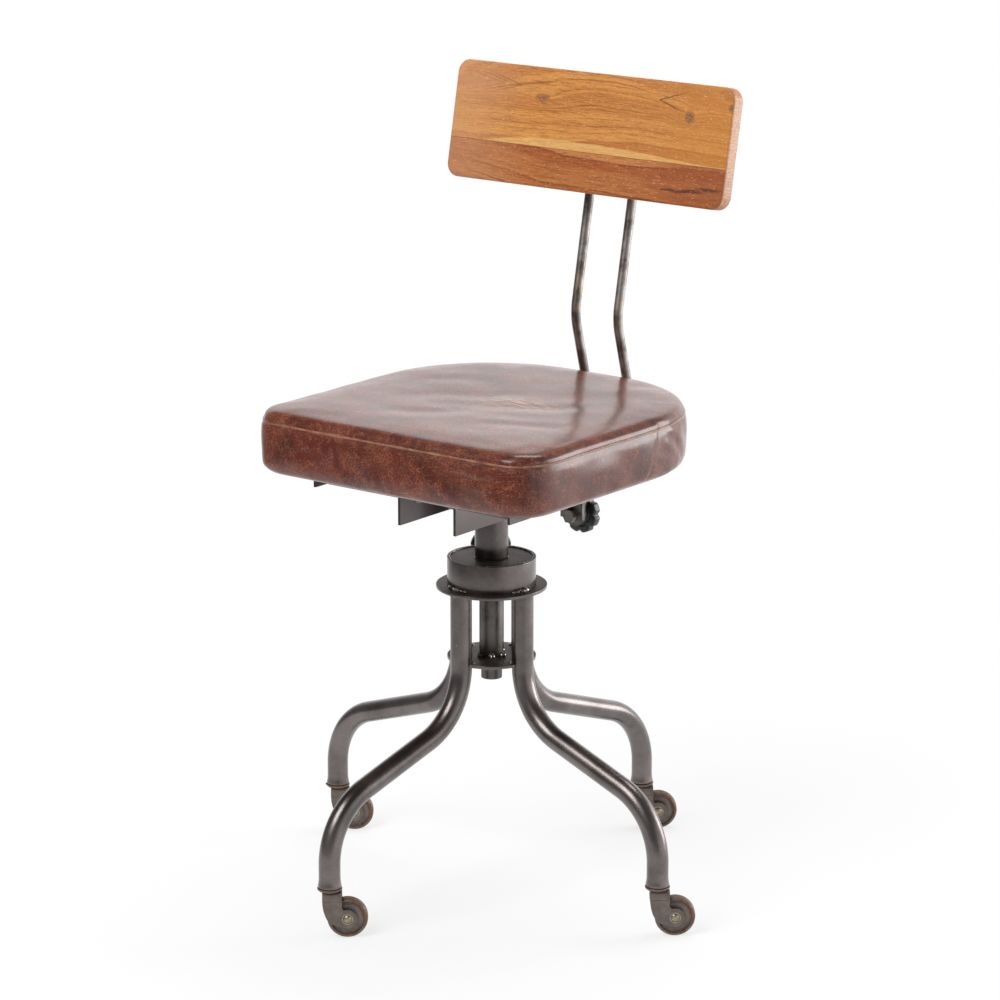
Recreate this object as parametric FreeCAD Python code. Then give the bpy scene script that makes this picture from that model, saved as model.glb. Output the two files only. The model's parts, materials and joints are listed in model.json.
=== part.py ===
"""Swivel office chair: four-legged tube base on casters, spindle-mounted padded seat, board backrest.

Millimetres, +Z up. The origin is on the floor, on the swivel axis. The sitter faces -Y.
The base stands turned about Z by base_turn from the seat.
"""
import FreeCAD, Part
import math
import os

V = FreeCAD.Vector
UP = V(0, 0, 1)

# --- Base: legs, plates, column ----------------
base_turn = 38.3            # degrees from the seat's cross direction to the base's
leg_od = 21.5
leg_wall = 2.0
leg_bend_radius = 70.0      # centre line of both bends
leg_top_offset = 30.75      # leg axis from the swivel axis, along each base direction, at the top
leg_foot_offset = 160.5     # the same at the foot
leg_upper_corner_z = 185.0  # where the upright's and the arm's centre lines cross
leg_lower_corner_z = 124.0
foot_z = 50.5               # lower end of each leg
foot_flare_radius = 11.7
foot_flare_height = 11.0
foot_edge_round = 1.4

flange_radius = 55.8
flange_bottom_z = 311.0
flange_thickness = 3.0
spreader_radius = 44.8
spreader_top_z = 240.0
spreader_thickness = 3.0
spreader_hole_clearance = 0.6
column_od = 24.6

# --- Spindle housing ----------------
drum_radius = 44.6
drum_height = 28.5
drum_wall = 3.0
cover_thickness = 3.0
cover_recess = 1.0
guide_bush_radius = 17.0
guide_bush_counterbore = 4.0
running_clearance = 0.05    # radial, between a shaft and its bore
cut_past = 1.0              # how far a cutting shape reaches past what it cuts
rubbing_gap = 0.3           # between faces that slide past each other

# --- Lifting spindle ----------------
spindle_radius = 10.5
spindle_bottom_z = 216.0
spindle_top_z = 400.0
spindle_chamfer = 1.2
groove_width = 6.0
groove_depth = 1.8
groove_bottom_z = 256.0
thrust_ball_radius = 7.0
thrust_ball_rise = 4.0      # centre of the ball above the end of the spindle

# --- Hand knobs and their screws ----------------
knob_radius = 21.0
knob_thickness = 10.0
knob_lobes = 8
knob_notch_radius = 5.0
knob_notch_depth = 2.6
knob_edge_round = 1.2
knob_hub_radius = 10.0
knob_hub_height = 2.0
lock_screw_radius = 3.0
lock_screw_z = 334.0
lock_boss_radius = 9.0
lock_boss_length = 8.0
lock_knob_gap = 4.0         # thread left showing between the boss and the knob's hub
lock_screw_in_knob = 7.0
clamp_pad_tip_radius = 2.5
clamp_pad_head_length = 2.0

# --- Casters ----------------
wheel_radius = 20.0
wheel_width = 12.4
wheel_rim_width = 3.2
wheel_recess = 2.4
wheel_hub_radius = 6.0
wheel_hub_taper = 1.0
wheel_rim_taper = 1.5
wheel_edge_round = 2.4
caster_trail = 17.3
caster_turn = 0.0           # degrees: the casters' trail direction within the base
fork_sheet = 2.0
fork_wheel_gap = 0.5
fork_top_z = 46.8
fork_front = 7.4            # fork plate ahead of the stem
fork_rear = 12.0            # and behind it, at the neck
fork_notch_z = 31.5
fork_eye_radius = 9.6
fork_eye_angles = (112.0, 248.0)   # degrees: where the cheek's outline leaves and rejoins the eye
fork_heel = (16.8, 5.5)     # heel of the cheek, ahead of and below the axle
fork_belly = (0.9, 1.5)     # how far the front edge bulges forward and down of a straight line
fork_crown_thickness = 2.6
fork_fold_round = 1.4
axle_radius = 2.5
axle_head_radius = 4.1
axle_head_height = 2.0
stem_radius = 4.0
stem_length = 22.0
stem_chamfer = 1.0
stem_head_height = 1.4
stem_head_radius = 5.6
socket_spare_depth = 1.0    # socket depth beyond the stem's end
foot_washer_radius = 12.4
foot_washer_gap = 0.4
foot_washer_bevel = 2.0

# --- Seat post, channel and pan ----------------
post_od = 33.5
post_wall = 2.9
post_gap = 0.8              # post end above the housing cover
post_bush_length = 12.0
post_bush_drop = 21.0       # upper bush below the underside of the channel
channel_width = 72.0
channel_depth = 31.0
channel_sheet = 3.0
channel_bend = 4.0
channel_top_z = 421.0
channel_front_y = -104.0
channel_rear_y = 134.0
pan_half_width = 119.0
pan_sheet = 3.0
pan_front_y = -114.0
pan_rear_y = 120.0
rail_front_y = -130.0
rail_flange = 18.0
rail_sheet = 3.0
rail_lip = 0.5              # rail edge below the pan
bolt_radius = 4.0
bolt_head_radius = 7.0
bolt_head_height = 5.0
channel_bolt_x = 22.0
channel_bolt_ys = (-88.0, 62.0)
screw_radius = 2.5
screw_head_radius = 4.6
screw_head_height = 2.6
screw_length = 8.0
screw_point = 3.75
rail_screw_ys = (-100.0, -5.0, 90.0)

# --- Seat board and cushion ----------------
seat_board_bottom_z = 440.0
seat_board_thickness = 10.0
seat_half_width = 177.0
seat_front_y = -173.0
seat_rear_y = 185.0
seat_front_corner = 40.0
seat_rear_corner = 142.0
seat_board_inset = 16.0
seat_bottom_tuck = 7.0
seat_edge_drop = 3.5        # rolled lower edge of the cushion below the board
seat_tuck_height = 9.0
seat_side_height = 49.0     # from the board's underside up to the seam
seat_flat_corner = 8.0      # least front corner radius where the crown flattens
seat_crown_height = 12.0
seat_crown_insets = (6.0, 40.0)    # where the crown turns over, and where it flattens
seat_crown_shares = (0.45, 1.0)    # of the crown's height

# --- Backrest ----------------
rod_radius = 4.8
rod_half_spacing = 26.6
rod_lean = 11.4             # degrees, of the upper rods and of the board
rod_waist_y = 174.5         # foremost corner of the rods' centre line
rod_waist_z = 556.8
rod_waist_radius = 60.0
rod_length_above_waist = 226.0
rod_lower_slope = 0.275     # backward run per unit of drop below the waist
rod_run_z = 392.0           # the stretch under the seat
rod_run_radius = 25.0
foot_plate_thickness = 4.7
foot_plate_half_width = 12.0
foot_bar_depth = 14.0
foot_bar_height = 12.0
foot_bar_overhang = 4.0
foot_bar_round = 2.5
bracket_half_width = 14.0
bracket_sheet = 4.0
bracket_tail = 44.0
bracket_bend = 6.0
bracket_bottom_z = 353.0
bracket_slot_clearance = 0.5
bracket_slot_top_z = 396.0
bracket_bolt_setbacks = (21.0, 37.0)
back_bolt_z = 356.0         # lowest setting of the backrest
back_bolt_radius = 4.0
back_bolt_head_width = 13.0
back_bolt_head_height = 5.3
back_bolt_stub = 5.0
clamp_washer_radius = 12.0
clamp_washer_thickness = 1.6

board_length = 344.0
board_height = 121.0
board_thickness = 17.0
board_corner = 14.0
board_edge_round = 2.6
board_joint_share = 0.335   # height of the joint between the planks, from the lower edge
board_centre_rise = 185.0   # centre of the board above the rods' waist, along the rods
board_standoff = 38.0       # from the back of the board to the rods' centre line
hat_sheet = 2.5
hat_height = 62.0
hat_half_width = 42.0
hat_flange = 22.0
hat_drop = 4.0              # hat's centre below the board's
strap_width = 14.0
strap_sheet = 2.0
strap_rise = 19.0           # straps above and below the hat's centre
strap_bolt_gap = 0.6        # between a bolt's head and the hump beside it
strap_bolt_radius = 2.5
strap_bolt_head_radius = 4.4
strap_bolt_head_height = 2.4
strap_nut_height = 4.0
board_screw_rise = 20.0

parts = {}


# --- Helpers ----------------
def cyl(radius, z0, z1, x=0.0, y=0.0):
    return Part.makeCylinder(radius, z1 - z0, V(x, y, z0))


def tube(outer, inner, z0, z1, x=0.0, y=0.0):
    return cyl(outer, z0, z1, x, y).cut(cyl(inner, z0 - cut_past, z1 + cut_past, x, y))


def pin_y(radius, y0, y1, x=0.0, z=0.0):
    return Part.makeCylinder(radius, y1 - y0, V(x, y0, z), V(0, 1, 0))


def block(x0, x1, y0, y1, z0, z1):
    return Part.makeBox(x1 - x0, y1 - y0, z1 - z0, V(x0, y0, z0))


def revolve(profile):
    """Solid of revolution about Z from a closed list of (radius, z)."""
    points = [V(r, 0, z) for r, z in profile]
    face = Part.Face(Part.makePolygon(points + points[:1]))
    return face.revolve(V(0, 0, 0), UP, 360)


def turned(shape, degrees):
    copy = shape.copy()
    copy.rotate(V(0, 0, 0), UP, degrees)
    return copy


def moved(shape, x, y, z=0.0):
    copy = shape.copy()
    copy.translate(V(x, y, z))
    return copy


def bent_path(points, radii):
    """Straight runs joined by tangent arcs, one radius per inner point."""
    edges = []
    start = points[0]
    for before, corner, after, radius in zip(points, points[1:], points[2:], radii):
        into = (corner - before).normalize()
        out = (after - corner).normalize()
        half_turn = into.getAngle(out) / 2
        tangent = radius * math.tan(half_turn)
        arc_start = corner - into * tangent
        arc_end = corner + out * tangent
        inward = (out - into).normalize()
        arc_middle = corner + inward * (radius / math.cos(half_turn) - radius)
        edges.append(Part.LineSegment(start, arc_start).toShape())
        edges.append(Part.Arc(arc_start, arc_middle, arc_end).toShape())
        start = arc_end
    edges.append(Part.LineSegment(start, points[-1]).toShape())
    return Part.Wire(edges)


def swept_rod(path, radius):
    """Round bar along a path that starts parallel to the given first edge."""
    first = path.Edges[0]
    direction = first.tangentAt(first.FirstParameter)
    ring = Part.Wire(Part.makeCircle(radius, path.Vertexes[0].Point, direction))
    return path.makePipeShell([ring], True, False)


def rounded_outline(corners, radii, z):
    """Closed plan outline with one radius per corner."""
    count = len(corners)
    points = [V(x, y, z) for x, y in corners]
    edges = []
    arcs = []
    for i in range(count):
        into = (points[i] - points[i - 1]).normalize()
        out = (points[(i + 1) % count] - points[i]).normalize()
        half_turn = into.getAngle(out) / 2
        tangent = radii[i] * math.tan(half_turn)
        inward = (out - into).normalize()
        middle = points[i] + inward * (radii[i] / math.cos(half_turn) - radii[i])
        arcs.append((points[i] - into * tangent, middle, points[i] + out * tangent))
    for i in range(count):
        edges.append(Part.Arc(*arcs[i]).toShape())
        edges.append(Part.LineSegment(arcs[i][2], arcs[(i + 1) % count][0]).toShape())
    return Part.Wire(edges)


def hexagon(width, y0, y1, x, z):
    """Hexagonal head with its axis along Y."""
    reach = width / math.sqrt(3)
    corners = [V(x + reach * math.cos(math.radians(60 * i)), y0, z + reach * math.sin(math.radians(60 * i)))
               for i in range(6)]
    face = Part.Face(Part.makePolygon(corners + corners[:1]))
    return face.extrude(V(0, y1 - y0, 0))


# --- Levels and places worked out from the sizes above ----------------
flange_top_z = flange_bottom_z + flange_thickness
drum_top_z = flange_top_z + drum_height
cover_top_z = drum_top_z - cover_recess
column_top_z = flange_top_z + guide_bush_counterbore
bore_radius = spindle_radius + running_clearance
post_bottom_z = cover_top_z + post_gap
channel_underside_z = channel_top_z - channel_sheet
pan_top_z = channel_top_z + pan_sheet
post_bore = post_od / 2 - post_wall
leg_bore = leg_od / 2 - leg_wall
wheel_axis_z = wheel_radius
ball_centre_z = spindle_top_z + thrust_ball_rise
foot_washer_bottom_z = fork_top_z + foot_washer_gap
seat_board_top_z = seat_board_bottom_z + seat_board_thickness
seat_seam_z = seat_board_bottom_z + seat_side_height
seat_bottom_z = seat_board_bottom_z - seat_edge_drop
bracket_y = channel_rear_y
foot_plate_y = bracket_y + bracket_sheet + rubbing_gap
foot_plate_rear_y = foot_plate_y + foot_plate_thickness
clamp_washer_y = foot_plate_rear_y + rubbing_gap
back_knob_y = clamp_washer_y + clamp_washer_thickness + running_clearance
base_corners = {"front": (-1, -1), "right": (1, -1), "rear": (1, 1), "left": (-1, 1)}


def foot_place(corner):
    sx, sy = base_corners[corner]
    return sx * leg_foot_offset, sy * leg_foot_offset


# --- Base ----------------
def leg(corner):
    """Tube leg: upright, bend, sloping arm, bend, short upright with a flared foot."""
    sx, sy = base_corners[corner]
    top = V(sx * leg_top_offset, sy * leg_top_offset, flange_bottom_z)
    upper = V(top.x, top.y, leg_upper_corner_z)
    foot_x, foot_y = foot_place(corner)
    lower = V(foot_x, foot_y, leg_lower_corner_z)
    end = V(foot_x, foot_y, foot_z)
    path = bent_path([top, upper, lower, end], [leg_bend_radius, leg_bend_radius])
    outer = swept_rod(path, leg_od / 2)
    flare = revolve([
        (0, foot_z),
        (foot_flare_radius - foot_edge_round, foot_z),
        (foot_flare_radius, foot_z + foot_edge_round),
        (foot_flare_radius, foot_z + 2 * foot_edge_round),
        (leg_od / 2, foot_z + foot_flare_height),
        (0, foot_z + foot_flare_height),
    ])
    outer = outer.fuse(moved(flare, foot_x, foot_y)).removeSplitter()
    return outer.cut(swept_rod(path, leg_bore))


def top_flange():
    return tube(flange_radius, column_od / 2, flange_bottom_z, flange_top_z)


def spreader_plate():
    """Disc that ties the legs: round notches seat on the tubes, a hole clears the spindle."""
    plate = tube(spreader_radius, spindle_radius + spreader_hole_clearance,
                 spreader_top_z - spreader_thickness, spreader_top_z)
    for sx, sy in base_corners.values():
        notch = cyl(leg_od / 2, 0, flange_bottom_z, sx * leg_top_offset, sy * leg_top_offset)
        plate = plate.cut(notch)
    return plate


def centre_column():
    return tube(column_od / 2, bore_radius, spreader_top_z, column_top_z)


def lock_screw_hole():
    return pin_y(lock_screw_radius + running_clearance, 0, flange_radius + knob_thickness, z=lock_screw_z)


def housing_drum():
    drum = tube(drum_radius, drum_radius - drum_wall, flange_top_z, drum_top_z)
    return drum.cut(lock_screw_hole())


def housing_cover():
    return tube(drum_radius - drum_wall, guide_bush_radius, cover_top_z - cover_thickness, cover_top_z)


def guide_bush():
    """Bush that steadies the spindle: counterbored over the column's end, cross-drilled for the clamp."""
    bush = revolve([
        (column_od / 2, flange_top_z),
        (guide_bush_radius, flange_top_z),
        (guide_bush_radius, cover_top_z),
        (bore_radius, cover_top_z),
        (bore_radius, column_top_z),
        (column_od / 2, column_top_z),
    ])
    return bush.cut(lock_screw_hole())


def lock_boss():
    boss = pin_y(lock_boss_radius, 0, drum_radius + lock_boss_length, z=lock_screw_z)
    boss = boss.cut(cyl(drum_radius, flange_bottom_z, drum_top_z + lock_boss_radius))
    boss = boss.cut(block(-flange_radius, flange_radius, 0, drum_radius + 2 * lock_boss_length,
                          flange_bottom_z, flange_top_z))
    return boss.cut(lock_screw_hole())


def clamp_pad():
    """Brass pad between the lock screw and the spindle's groove."""
    tip_y = spindle_radius - groove_depth + rubbing_gap
    head_y = spindle_radius + rubbing_gap
    tip = pin_y(clamp_pad_tip_radius, tip_y, head_y, z=lock_screw_z)
    head = pin_y(lock_screw_radius, head_y, head_y + clamp_pad_head_length, z=lock_screw_z)
    return tip.fuse(head).removeSplitter()


def stem_sockets():
    socket = tube(leg_bore, stem_radius + running_clearance, foot_z, foot_z + stem_length)
    return Part.makeCompound([moved(socket, *foot_place(corner)) for corner in base_corners])


def foot_washers():
    """Thick washers under the feet, bevelled below."""
    bevel = foot_washer_bevel
    washer = revolve([
        (stem_radius + rubbing_gap, foot_washer_bottom_z),
        (foot_washer_radius - bevel, foot_washer_bottom_z),
        (foot_washer_radius, foot_washer_bottom_z + bevel),
        (foot_washer_radius, foot_z),
        (stem_radius + rubbing_gap, foot_z),
    ])
    return Part.makeCompound([moved(washer, *foot_place(corner)) for corner in base_corners])


# --- Casters: built round the stem axis, trailing along +X, then moved to a foot ----------------
def at_foot(shape, corner):
    placed = turned(shape, caster_turn)
    return moved(placed, *foot_place(corner))


cheek_inner_y = wheel_width / 2 + fork_wheel_gap
cheek_outer_y = cheek_inner_y + fork_sheet


def fork_cheek(y0):
    """Comma-shaped side plate: a neck under the crown, swept back to a round eye over the axle."""
    eye = V(caster_trail, y0, wheel_axis_z)
    upper_angle, lower_angle = [math.radians(a) for a in fork_eye_angles]
    neck_front = V(-fork_front, y0, fork_top_z)
    neck_rear = V(fork_rear, y0, fork_top_z)
    notch = V(fork_rear, y0, fork_notch_z)

    def on_eye(angle):
        return eye + V(math.cos(angle), 0, math.sin(angle)) * fork_eye_radius

    heel = eye - V(fork_heel[0], 0, fork_heel[1])
    belly = (neck_front + heel) * 0.5 - V(fork_belly[0], 0, fork_belly[1])
    edges = [
        Part.LineSegment(neck_front, neck_rear).toShape(),
        Part.LineSegment(neck_rear, notch).toShape(),
        Part.LineSegment(notch, on_eye(upper_angle)).toShape(),
        Part.Arc(on_eye(upper_angle), on_eye(0), on_eye(lower_angle)).toShape(),
        Part.LineSegment(on_eye(lower_angle), heel).toShape(),
        Part.Arc(heel, belly, neck_front).toShape(),
    ]
    return Part.Face(Part.Wire(edges)).extrude(V(0, fork_sheet, 0))


def caster_fork():
    crown = block(-fork_front, fork_rear, -cheek_outer_y, cheek_outer_y,
                  fork_top_z - fork_crown_thickness, fork_top_z)
    fork = crown.fuse([fork_cheek(cheek_inner_y), fork_cheek(-cheek_outer_y)]).removeSplitter()
    top_edges = [e for e in fork.Edges if min(v.Z for v in e.Vertexes) > fork_top_z - 0.01
                 and abs(e.Vertexes[0].Y - e.Vertexes[-1].Y) < 0.01]
    fork = fork.makeFillet(fork_fold_round, top_edges)
    fork = fork.cut(cyl(stem_radius, 0, fork_top_z + cut_past))
    return fork.cut(pin_y(axle_radius, -cheek_outer_y - cut_past, cheek_outer_y + cut_past,
                          caster_trail, wheel_axis_z))


def caster_stem():
    top = foot_z + stem_length - socket_spare_depth
    head_top_z = fork_top_z - fork_crown_thickness
    return revolve([
        (0, head_top_z - stem_head_height),
        (stem_head_radius, head_top_z - stem_head_height),
        (stem_head_radius, head_top_z),
        (stem_radius, head_top_z),
        (stem_radius, top - stem_chamfer),
        (stem_radius - stem_chamfer, top),
        (0, top),
    ])


def caster_wheel():
    """Iron wheel: rounded tread, dished faces inside a raised rim, hub boss with a running bore."""
    half = wheel_width / 2
    rim_inner = wheel_radius - wheel_rim_width
    edge = wheel_edge_round
    wheel = revolve([
        (axle_radius + running_clearance, -half),
        (wheel_hub_radius, -half),
        (wheel_hub_radius + wheel_hub_taper, -half + wheel_recess),
        (rim_inner - wheel_rim_taper, -half + wheel_recess),
        (rim_inner, -half),
        (wheel_radius - edge, -half),
        (wheel_radius - 0.3 * edge, -half + 0.3 * edge),
        (wheel_radius, -half + edge),
        (wheel_radius, half - edge),
        (wheel_radius - 0.3 * edge, half - 0.3 * edge),
        (wheel_radius - edge, half),
        (rim_inner, half),
        (rim_inner - wheel_rim_taper, half - wheel_recess),
        (wheel_hub_radius + wheel_hub_taper, half - wheel_recess),
        (wheel_hub_radius, half),
        (axle_radius + running_clearance, half),
    ])
    wheel.rotate(V(0, 0, 0), V(1, 0, 0), 90)
    return moved(wheel, caster_trail, 0, wheel_axis_z)


def caster_axle():
    """Rivet through both cheeks, with domed heads."""
    shank = pin_y(axle_radius, -cheek_outer_y, cheek_outer_y, caster_trail, wheel_axis_z)
    dome_radius = (axle_head_radius ** 2 + axle_head_height ** 2) / (2 * axle_head_height)
    axle = shank
    for side in (-1, 1):
        face_y = side * cheek_outer_y
        centre = V(caster_trail, face_y - side * (dome_radius - axle_head_height), wheel_axis_z)
        ball = Part.makeSphere(dome_radius, centre)
        outer_y = face_y + side * 2 * axle_head_height
        slab = pin_y(axle_head_radius + 1, min(face_y, outer_y), max(face_y, outer_y),
                     caster_trail, wheel_axis_z)
        axle = axle.fuse(ball.common(slab))
    return axle.removeSplitter()


# --- Hand knobs ----------------
def lobed_knob(bore):
    """Lobed hand knob on the Y axis: hub face at y = 0, body behind it."""
    body_y = knob_hub_height
    end_y = body_y + knob_thickness
    body = pin_y(knob_radius, body_y, end_y)
    notch_centre = knob_radius + knob_notch_radius - knob_notch_depth
    for i in range(knob_lobes):
        angle = 2 * math.pi * (i + 0.5) / knob_lobes
        body = body.cut(pin_y(knob_notch_radius, body_y - cut_past, end_y + cut_past,
                              notch_centre * math.cos(angle), notch_centre * math.sin(angle)))
    rims = [e for e in body.Edges if abs(e.Vertexes[0].Y - e.Vertexes[-1].Y) < 0.01]
    body = body.makeChamfer(knob_edge_round, rims)
    hub = pin_y(knob_hub_radius, 0, body_y + 1)
    return body.fuse(hub).removeSplitter().cut(pin_y(bore, -cut_past, end_y + cut_past))


def lock_screw():
    start = spindle_radius + 2 * rubbing_gap + clamp_pad_head_length
    end = drum_radius + lock_boss_length + lock_knob_gap + knob_hub_height + lock_screw_in_knob
    return pin_y(lock_screw_radius, start, end, z=lock_screw_z)


def lock_knob():
    knob = lobed_knob(lock_screw_radius)
    return moved(knob, 0, drum_radius + lock_boss_length + lock_knob_gap, lock_screw_z)


def back_knob():
    knob = lobed_knob(back_bolt_radius + running_clearance)
    return moved(knob, 0, back_knob_y, back_bolt_z)


def clamp_washer():
    rear_y = clamp_washer_y + clamp_washer_thickness
    washer = pin_y(clamp_washer_radius, clamp_washer_y, rear_y, z=back_bolt_z)
    bore = pin_y(back_bolt_radius + running_clearance, foot_plate_rear_y, back_knob_y, z=back_bolt_z)
    return washer.cut(bore)


# --- Spindle and seat post ----------------
def spindle():
    """Sliding bar with a guide groove down one side and a cup for the thrust ball in its end."""
    bar = revolve([
        (0, spindle_bottom_z),
        (spindle_radius - spindle_chamfer, spindle_bottom_z),
        (spindle_radius, spindle_bottom_z + spindle_chamfer),
        (spindle_radius, spindle_top_z),
        (0, spindle_top_z),
    ])
    groove_top_z = lock_screw_z + groove_width
    groove = block(-groove_width / 2, groove_width / 2, spindle_radius - groove_depth, 2 * spindle_radius,
                   groove_bottom_z, groove_top_z)
    bar = bar.cut(groove)
    return bar.cut(Part.makeSphere(thrust_ball_radius, V(0, 0, ball_centre_z)))


def thrust_ball():
    return Part.makeSphere(thrust_ball_radius, V(0, 0, ball_centre_z))


def seat_post():
    return tube(post_od / 2, post_bore, post_bottom_z, channel_underside_z)


def post_bushes():
    lower_z = post_bottom_z
    upper_z = channel_underside_z - post_bush_drop - post_bush_length
    bushes = [tube(post_bore, bore_radius, z, z + post_bush_length) for z in (lower_z, upper_z)]
    return Part.makeCompound(bushes)


def post_plug():
    return cyl(post_bore, ball_centre_z + thrust_ball_radius + running_clearance, channel_underside_z)


# --- Seat channel, pan and rails ----------------
def channel_bolt_places():
    return [(side * channel_bolt_x, y) for side in (-1, 1) for y in channel_bolt_ys]


def bracket_bolt_places():
    return [(0.0, bracket_y - setback) for setback in bracket_bolt_setbacks]


def cut_holes(shape, places, radius, z0, z1):
    for x, y in places:
        shape = shape.cut(cyl(radius, z0 - cut_past, z1 + cut_past, x, y))
    return shape


def seat_channel():
    """Folded inverted-U channel under the pan, open at both ends."""
    half = channel_width / 2
    bottom = channel_top_z - channel_depth
    outer = [(-half, bottom), (-half, channel_top_z), (half, channel_top_z), (half, bottom)]
    inner_half = half - channel_sheet
    inner = [(inner_half, bottom), (inner_half, channel_underside_z),
             (-inner_half, channel_underside_z), (-inner_half, bottom)]
    points = [V(x, channel_front_y, z) for x, z in outer + inner]
    face = Part.Face(Part.makePolygon(points + points[:1]))
    channel = face.extrude(V(0, channel_rear_y - channel_front_y, 0))

    def fold(height, radius):
        edges = [e for e in channel.Edges if all(abs(v.Z - height) < 0.01 for v in e.Vertexes)
                 and abs(e.Vertexes[0].Y - e.Vertexes[-1].Y) > 1]
        return channel.makeFillet(radius, edges)

    channel = fold(channel_top_z, channel_bend)
    channel = fold(channel_underside_z, channel_bend - channel_sheet)
    places = channel_bolt_places() + bracket_bolt_places()
    return cut_holes(channel, places, bolt_radius, channel_underside_z, channel_top_z)


def seat_pan():
    pan = block(-pan_half_width, pan_half_width, pan_front_y, pan_rear_y, channel_top_z, pan_top_z)
    places = channel_bolt_places() + bracket_bolt_places()
    return cut_holes(pan, places, bolt_radius, channel_top_z, pan_top_z)


def rail_screw_places(side):
    x = side * (pan_half_width + rail_sheet - rail_flange / 2 - rail_sheet / 2)
    return [(x, y) for y in rail_screw_ys]


def seat_rail(side):
    """Angle rail: upright leg at the pan's edge, flange against the seat board."""
    inner = pan_half_width
    outer = inner + rail_sheet
    flange_edge = outer - rail_flange
    bottom = channel_top_z - rail_lip
    profile = [(outer, bottom), (outer, seat_board_bottom_z), (flange_edge, seat_board_bottom_z),
               (flange_edge, seat_board_bottom_z - rail_sheet), (inner, seat_board_bottom_z - rail_sheet),
               (inner, bottom)]
    points = [V(side * x, rail_front_y, z) for x, z in profile]
    face = Part.Face(Part.makePolygon(points + points[:1]))
    rail = face.extrude(V(0, pan_rear_y - rail_front_y, 0))
    return cut_holes(rail, rail_screw_places(side), screw_radius,
                     seat_board_bottom_z - rail_sheet, seat_board_bottom_z)


def rail_screws():
    """Round-head wood screws, heads under the rail flanges, points in the seat board."""
    head_z = seat_board_bottom_z - rail_sheet
    screw = revolve([
        (0, head_z - screw_head_height),
        (0.6 * screw_head_radius, head_z - screw_head_height),
        (screw_head_radius, head_z - 0.3 * screw_head_height),
        (screw_head_radius, head_z),
        (screw_radius, head_z),
        (screw_radius, seat_board_bottom_z + screw_length - screw_point),
        (0, seat_board_bottom_z + screw_length),
    ])
    places = rail_screw_places(-1) + rail_screw_places(1)
    return Part.makeCompound([moved(screw, x, y) for x, y in places])


def through_bolt(z0, z1):
    """Bolt between two faces: low round head below, nut-like head above."""
    return revolve([
        (0, z0 - bolt_head_height),
        (0.75 * bolt_head_radius, z0 - bolt_head_height),
        (bolt_head_radius, z0 - 0.5 * bolt_head_height),
        (bolt_head_radius, z0),
        (bolt_radius, z0),
        (bolt_radius, z1),
        (bolt_head_radius, z1),
        (bolt_head_radius, z1 + bolt_head_height),
        (0, z1 + bolt_head_height),
    ])


def channel_bolts():
    bolt = through_bolt(channel_underside_z, pan_top_z)
    return Part.makeCompound([moved(bolt, x, y) for x, y in channel_bolt_places()])


# --- Seat board and cushion ----------------
def seat_outline(inset, z):
    """Plan of the seat: straight front and sides, small front corners, wide round rear corners."""
    half = seat_half_width - inset
    front = seat_front_y + inset
    rear = seat_rear_y - inset
    corners = [(-half, front), (half, front), (half, rear), (-half, rear)]
    front_radius = max(seat_front_corner - inset, seat_flat_corner)
    rear_radius = seat_rear_corner - inset
    return rounded_outline(corners, [front_radius, front_radius, rear_radius, rear_radius], z)


def seat_board():
    board = Part.Face(seat_outline(seat_board_inset, seat_board_bottom_z))
    board = board.extrude(V(0, 0, seat_board_thickness))
    for x, y in rail_screw_places(-1) + rail_screw_places(1):
        pilot = revolve([
            (0, seat_board_bottom_z - cut_past),
            (screw_radius, seat_board_bottom_z - cut_past),
            (screw_radius, seat_board_bottom_z + screw_length - screw_point),
            (0, seat_board_bottom_z + screw_length),
        ])
        board = board.cut(moved(pilot, x, y))
    return board


def seat_cushion():
    """Padded seat: tucked lower edge, upright side, seam line and a low crown. It wraps the board."""
    levels = [
        (seat_bottom_tuck, seat_bottom_z),
        (0.0, seat_bottom_z + seat_tuck_height),
        (0.0, seat_seam_z),
    ]
    for inset, share in zip(seat_crown_insets, seat_crown_shares):
        levels.append((inset, seat_seam_z + share * seat_crown_height))
    outlines = [seat_outline(inset, z) for inset, z in levels]
    cushion = Part.makeLoft(outlines, True, True)
    pocket = Part.Face(seat_outline(seat_board_inset, seat_bottom_z - cut_past))
    return cushion.cut(pocket.extrude(V(0, 0, seat_board_top_z - seat_bottom_z + cut_past)))


# --- Backrest support under the seat ----------------
def back_bracket():
    """Folded strap bolted under the channel's rear end; its hanging leg is a fork for the clamp bolt."""
    front = bracket_y - bracket_tail
    rear = bracket_y + bracket_sheet
    top = channel_underside_z
    profile = [(front, top), (rear, top), (rear, bracket_bottom_z), (bracket_y, bracket_bottom_z),
               (bracket_y, top - bracket_sheet), (front, top - bracket_sheet)]
    points = [V(-bracket_half_width, y, z) for y, z in profile]
    face = Part.Face(Part.makePolygon(points + points[:1]))
    strap = face.extrude(V(2 * bracket_half_width, 0, 0))
    fold = [e for e in strap.Edges
            if all(abs(v.Y - rear) < 0.01 and abs(v.Z - top) < 0.01 for v in e.Vertexes)]
    strap = strap.makeFillet(bracket_bend, fold)
    slot_half = back_bolt_radius + bracket_slot_clearance
    slot = block(-slot_half, slot_half, bracket_y - cut_past, rear + cut_past,
                 bracket_bottom_z - cut_past, bracket_slot_top_z)
    slot = slot.fuse(pin_y(slot_half, bracket_y - cut_past, rear + cut_past, z=bracket_slot_top_z))
    strap = strap.cut(slot)
    return cut_holes(strap, bracket_bolt_places(), bolt_radius, top - bracket_sheet, top)


def bracket_bolts():
    bolt = through_bolt(channel_underside_z - bracket_sheet, pan_top_z)
    return Part.makeCompound([moved(bolt, x, y) for x, y in bracket_bolt_places()])


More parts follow.
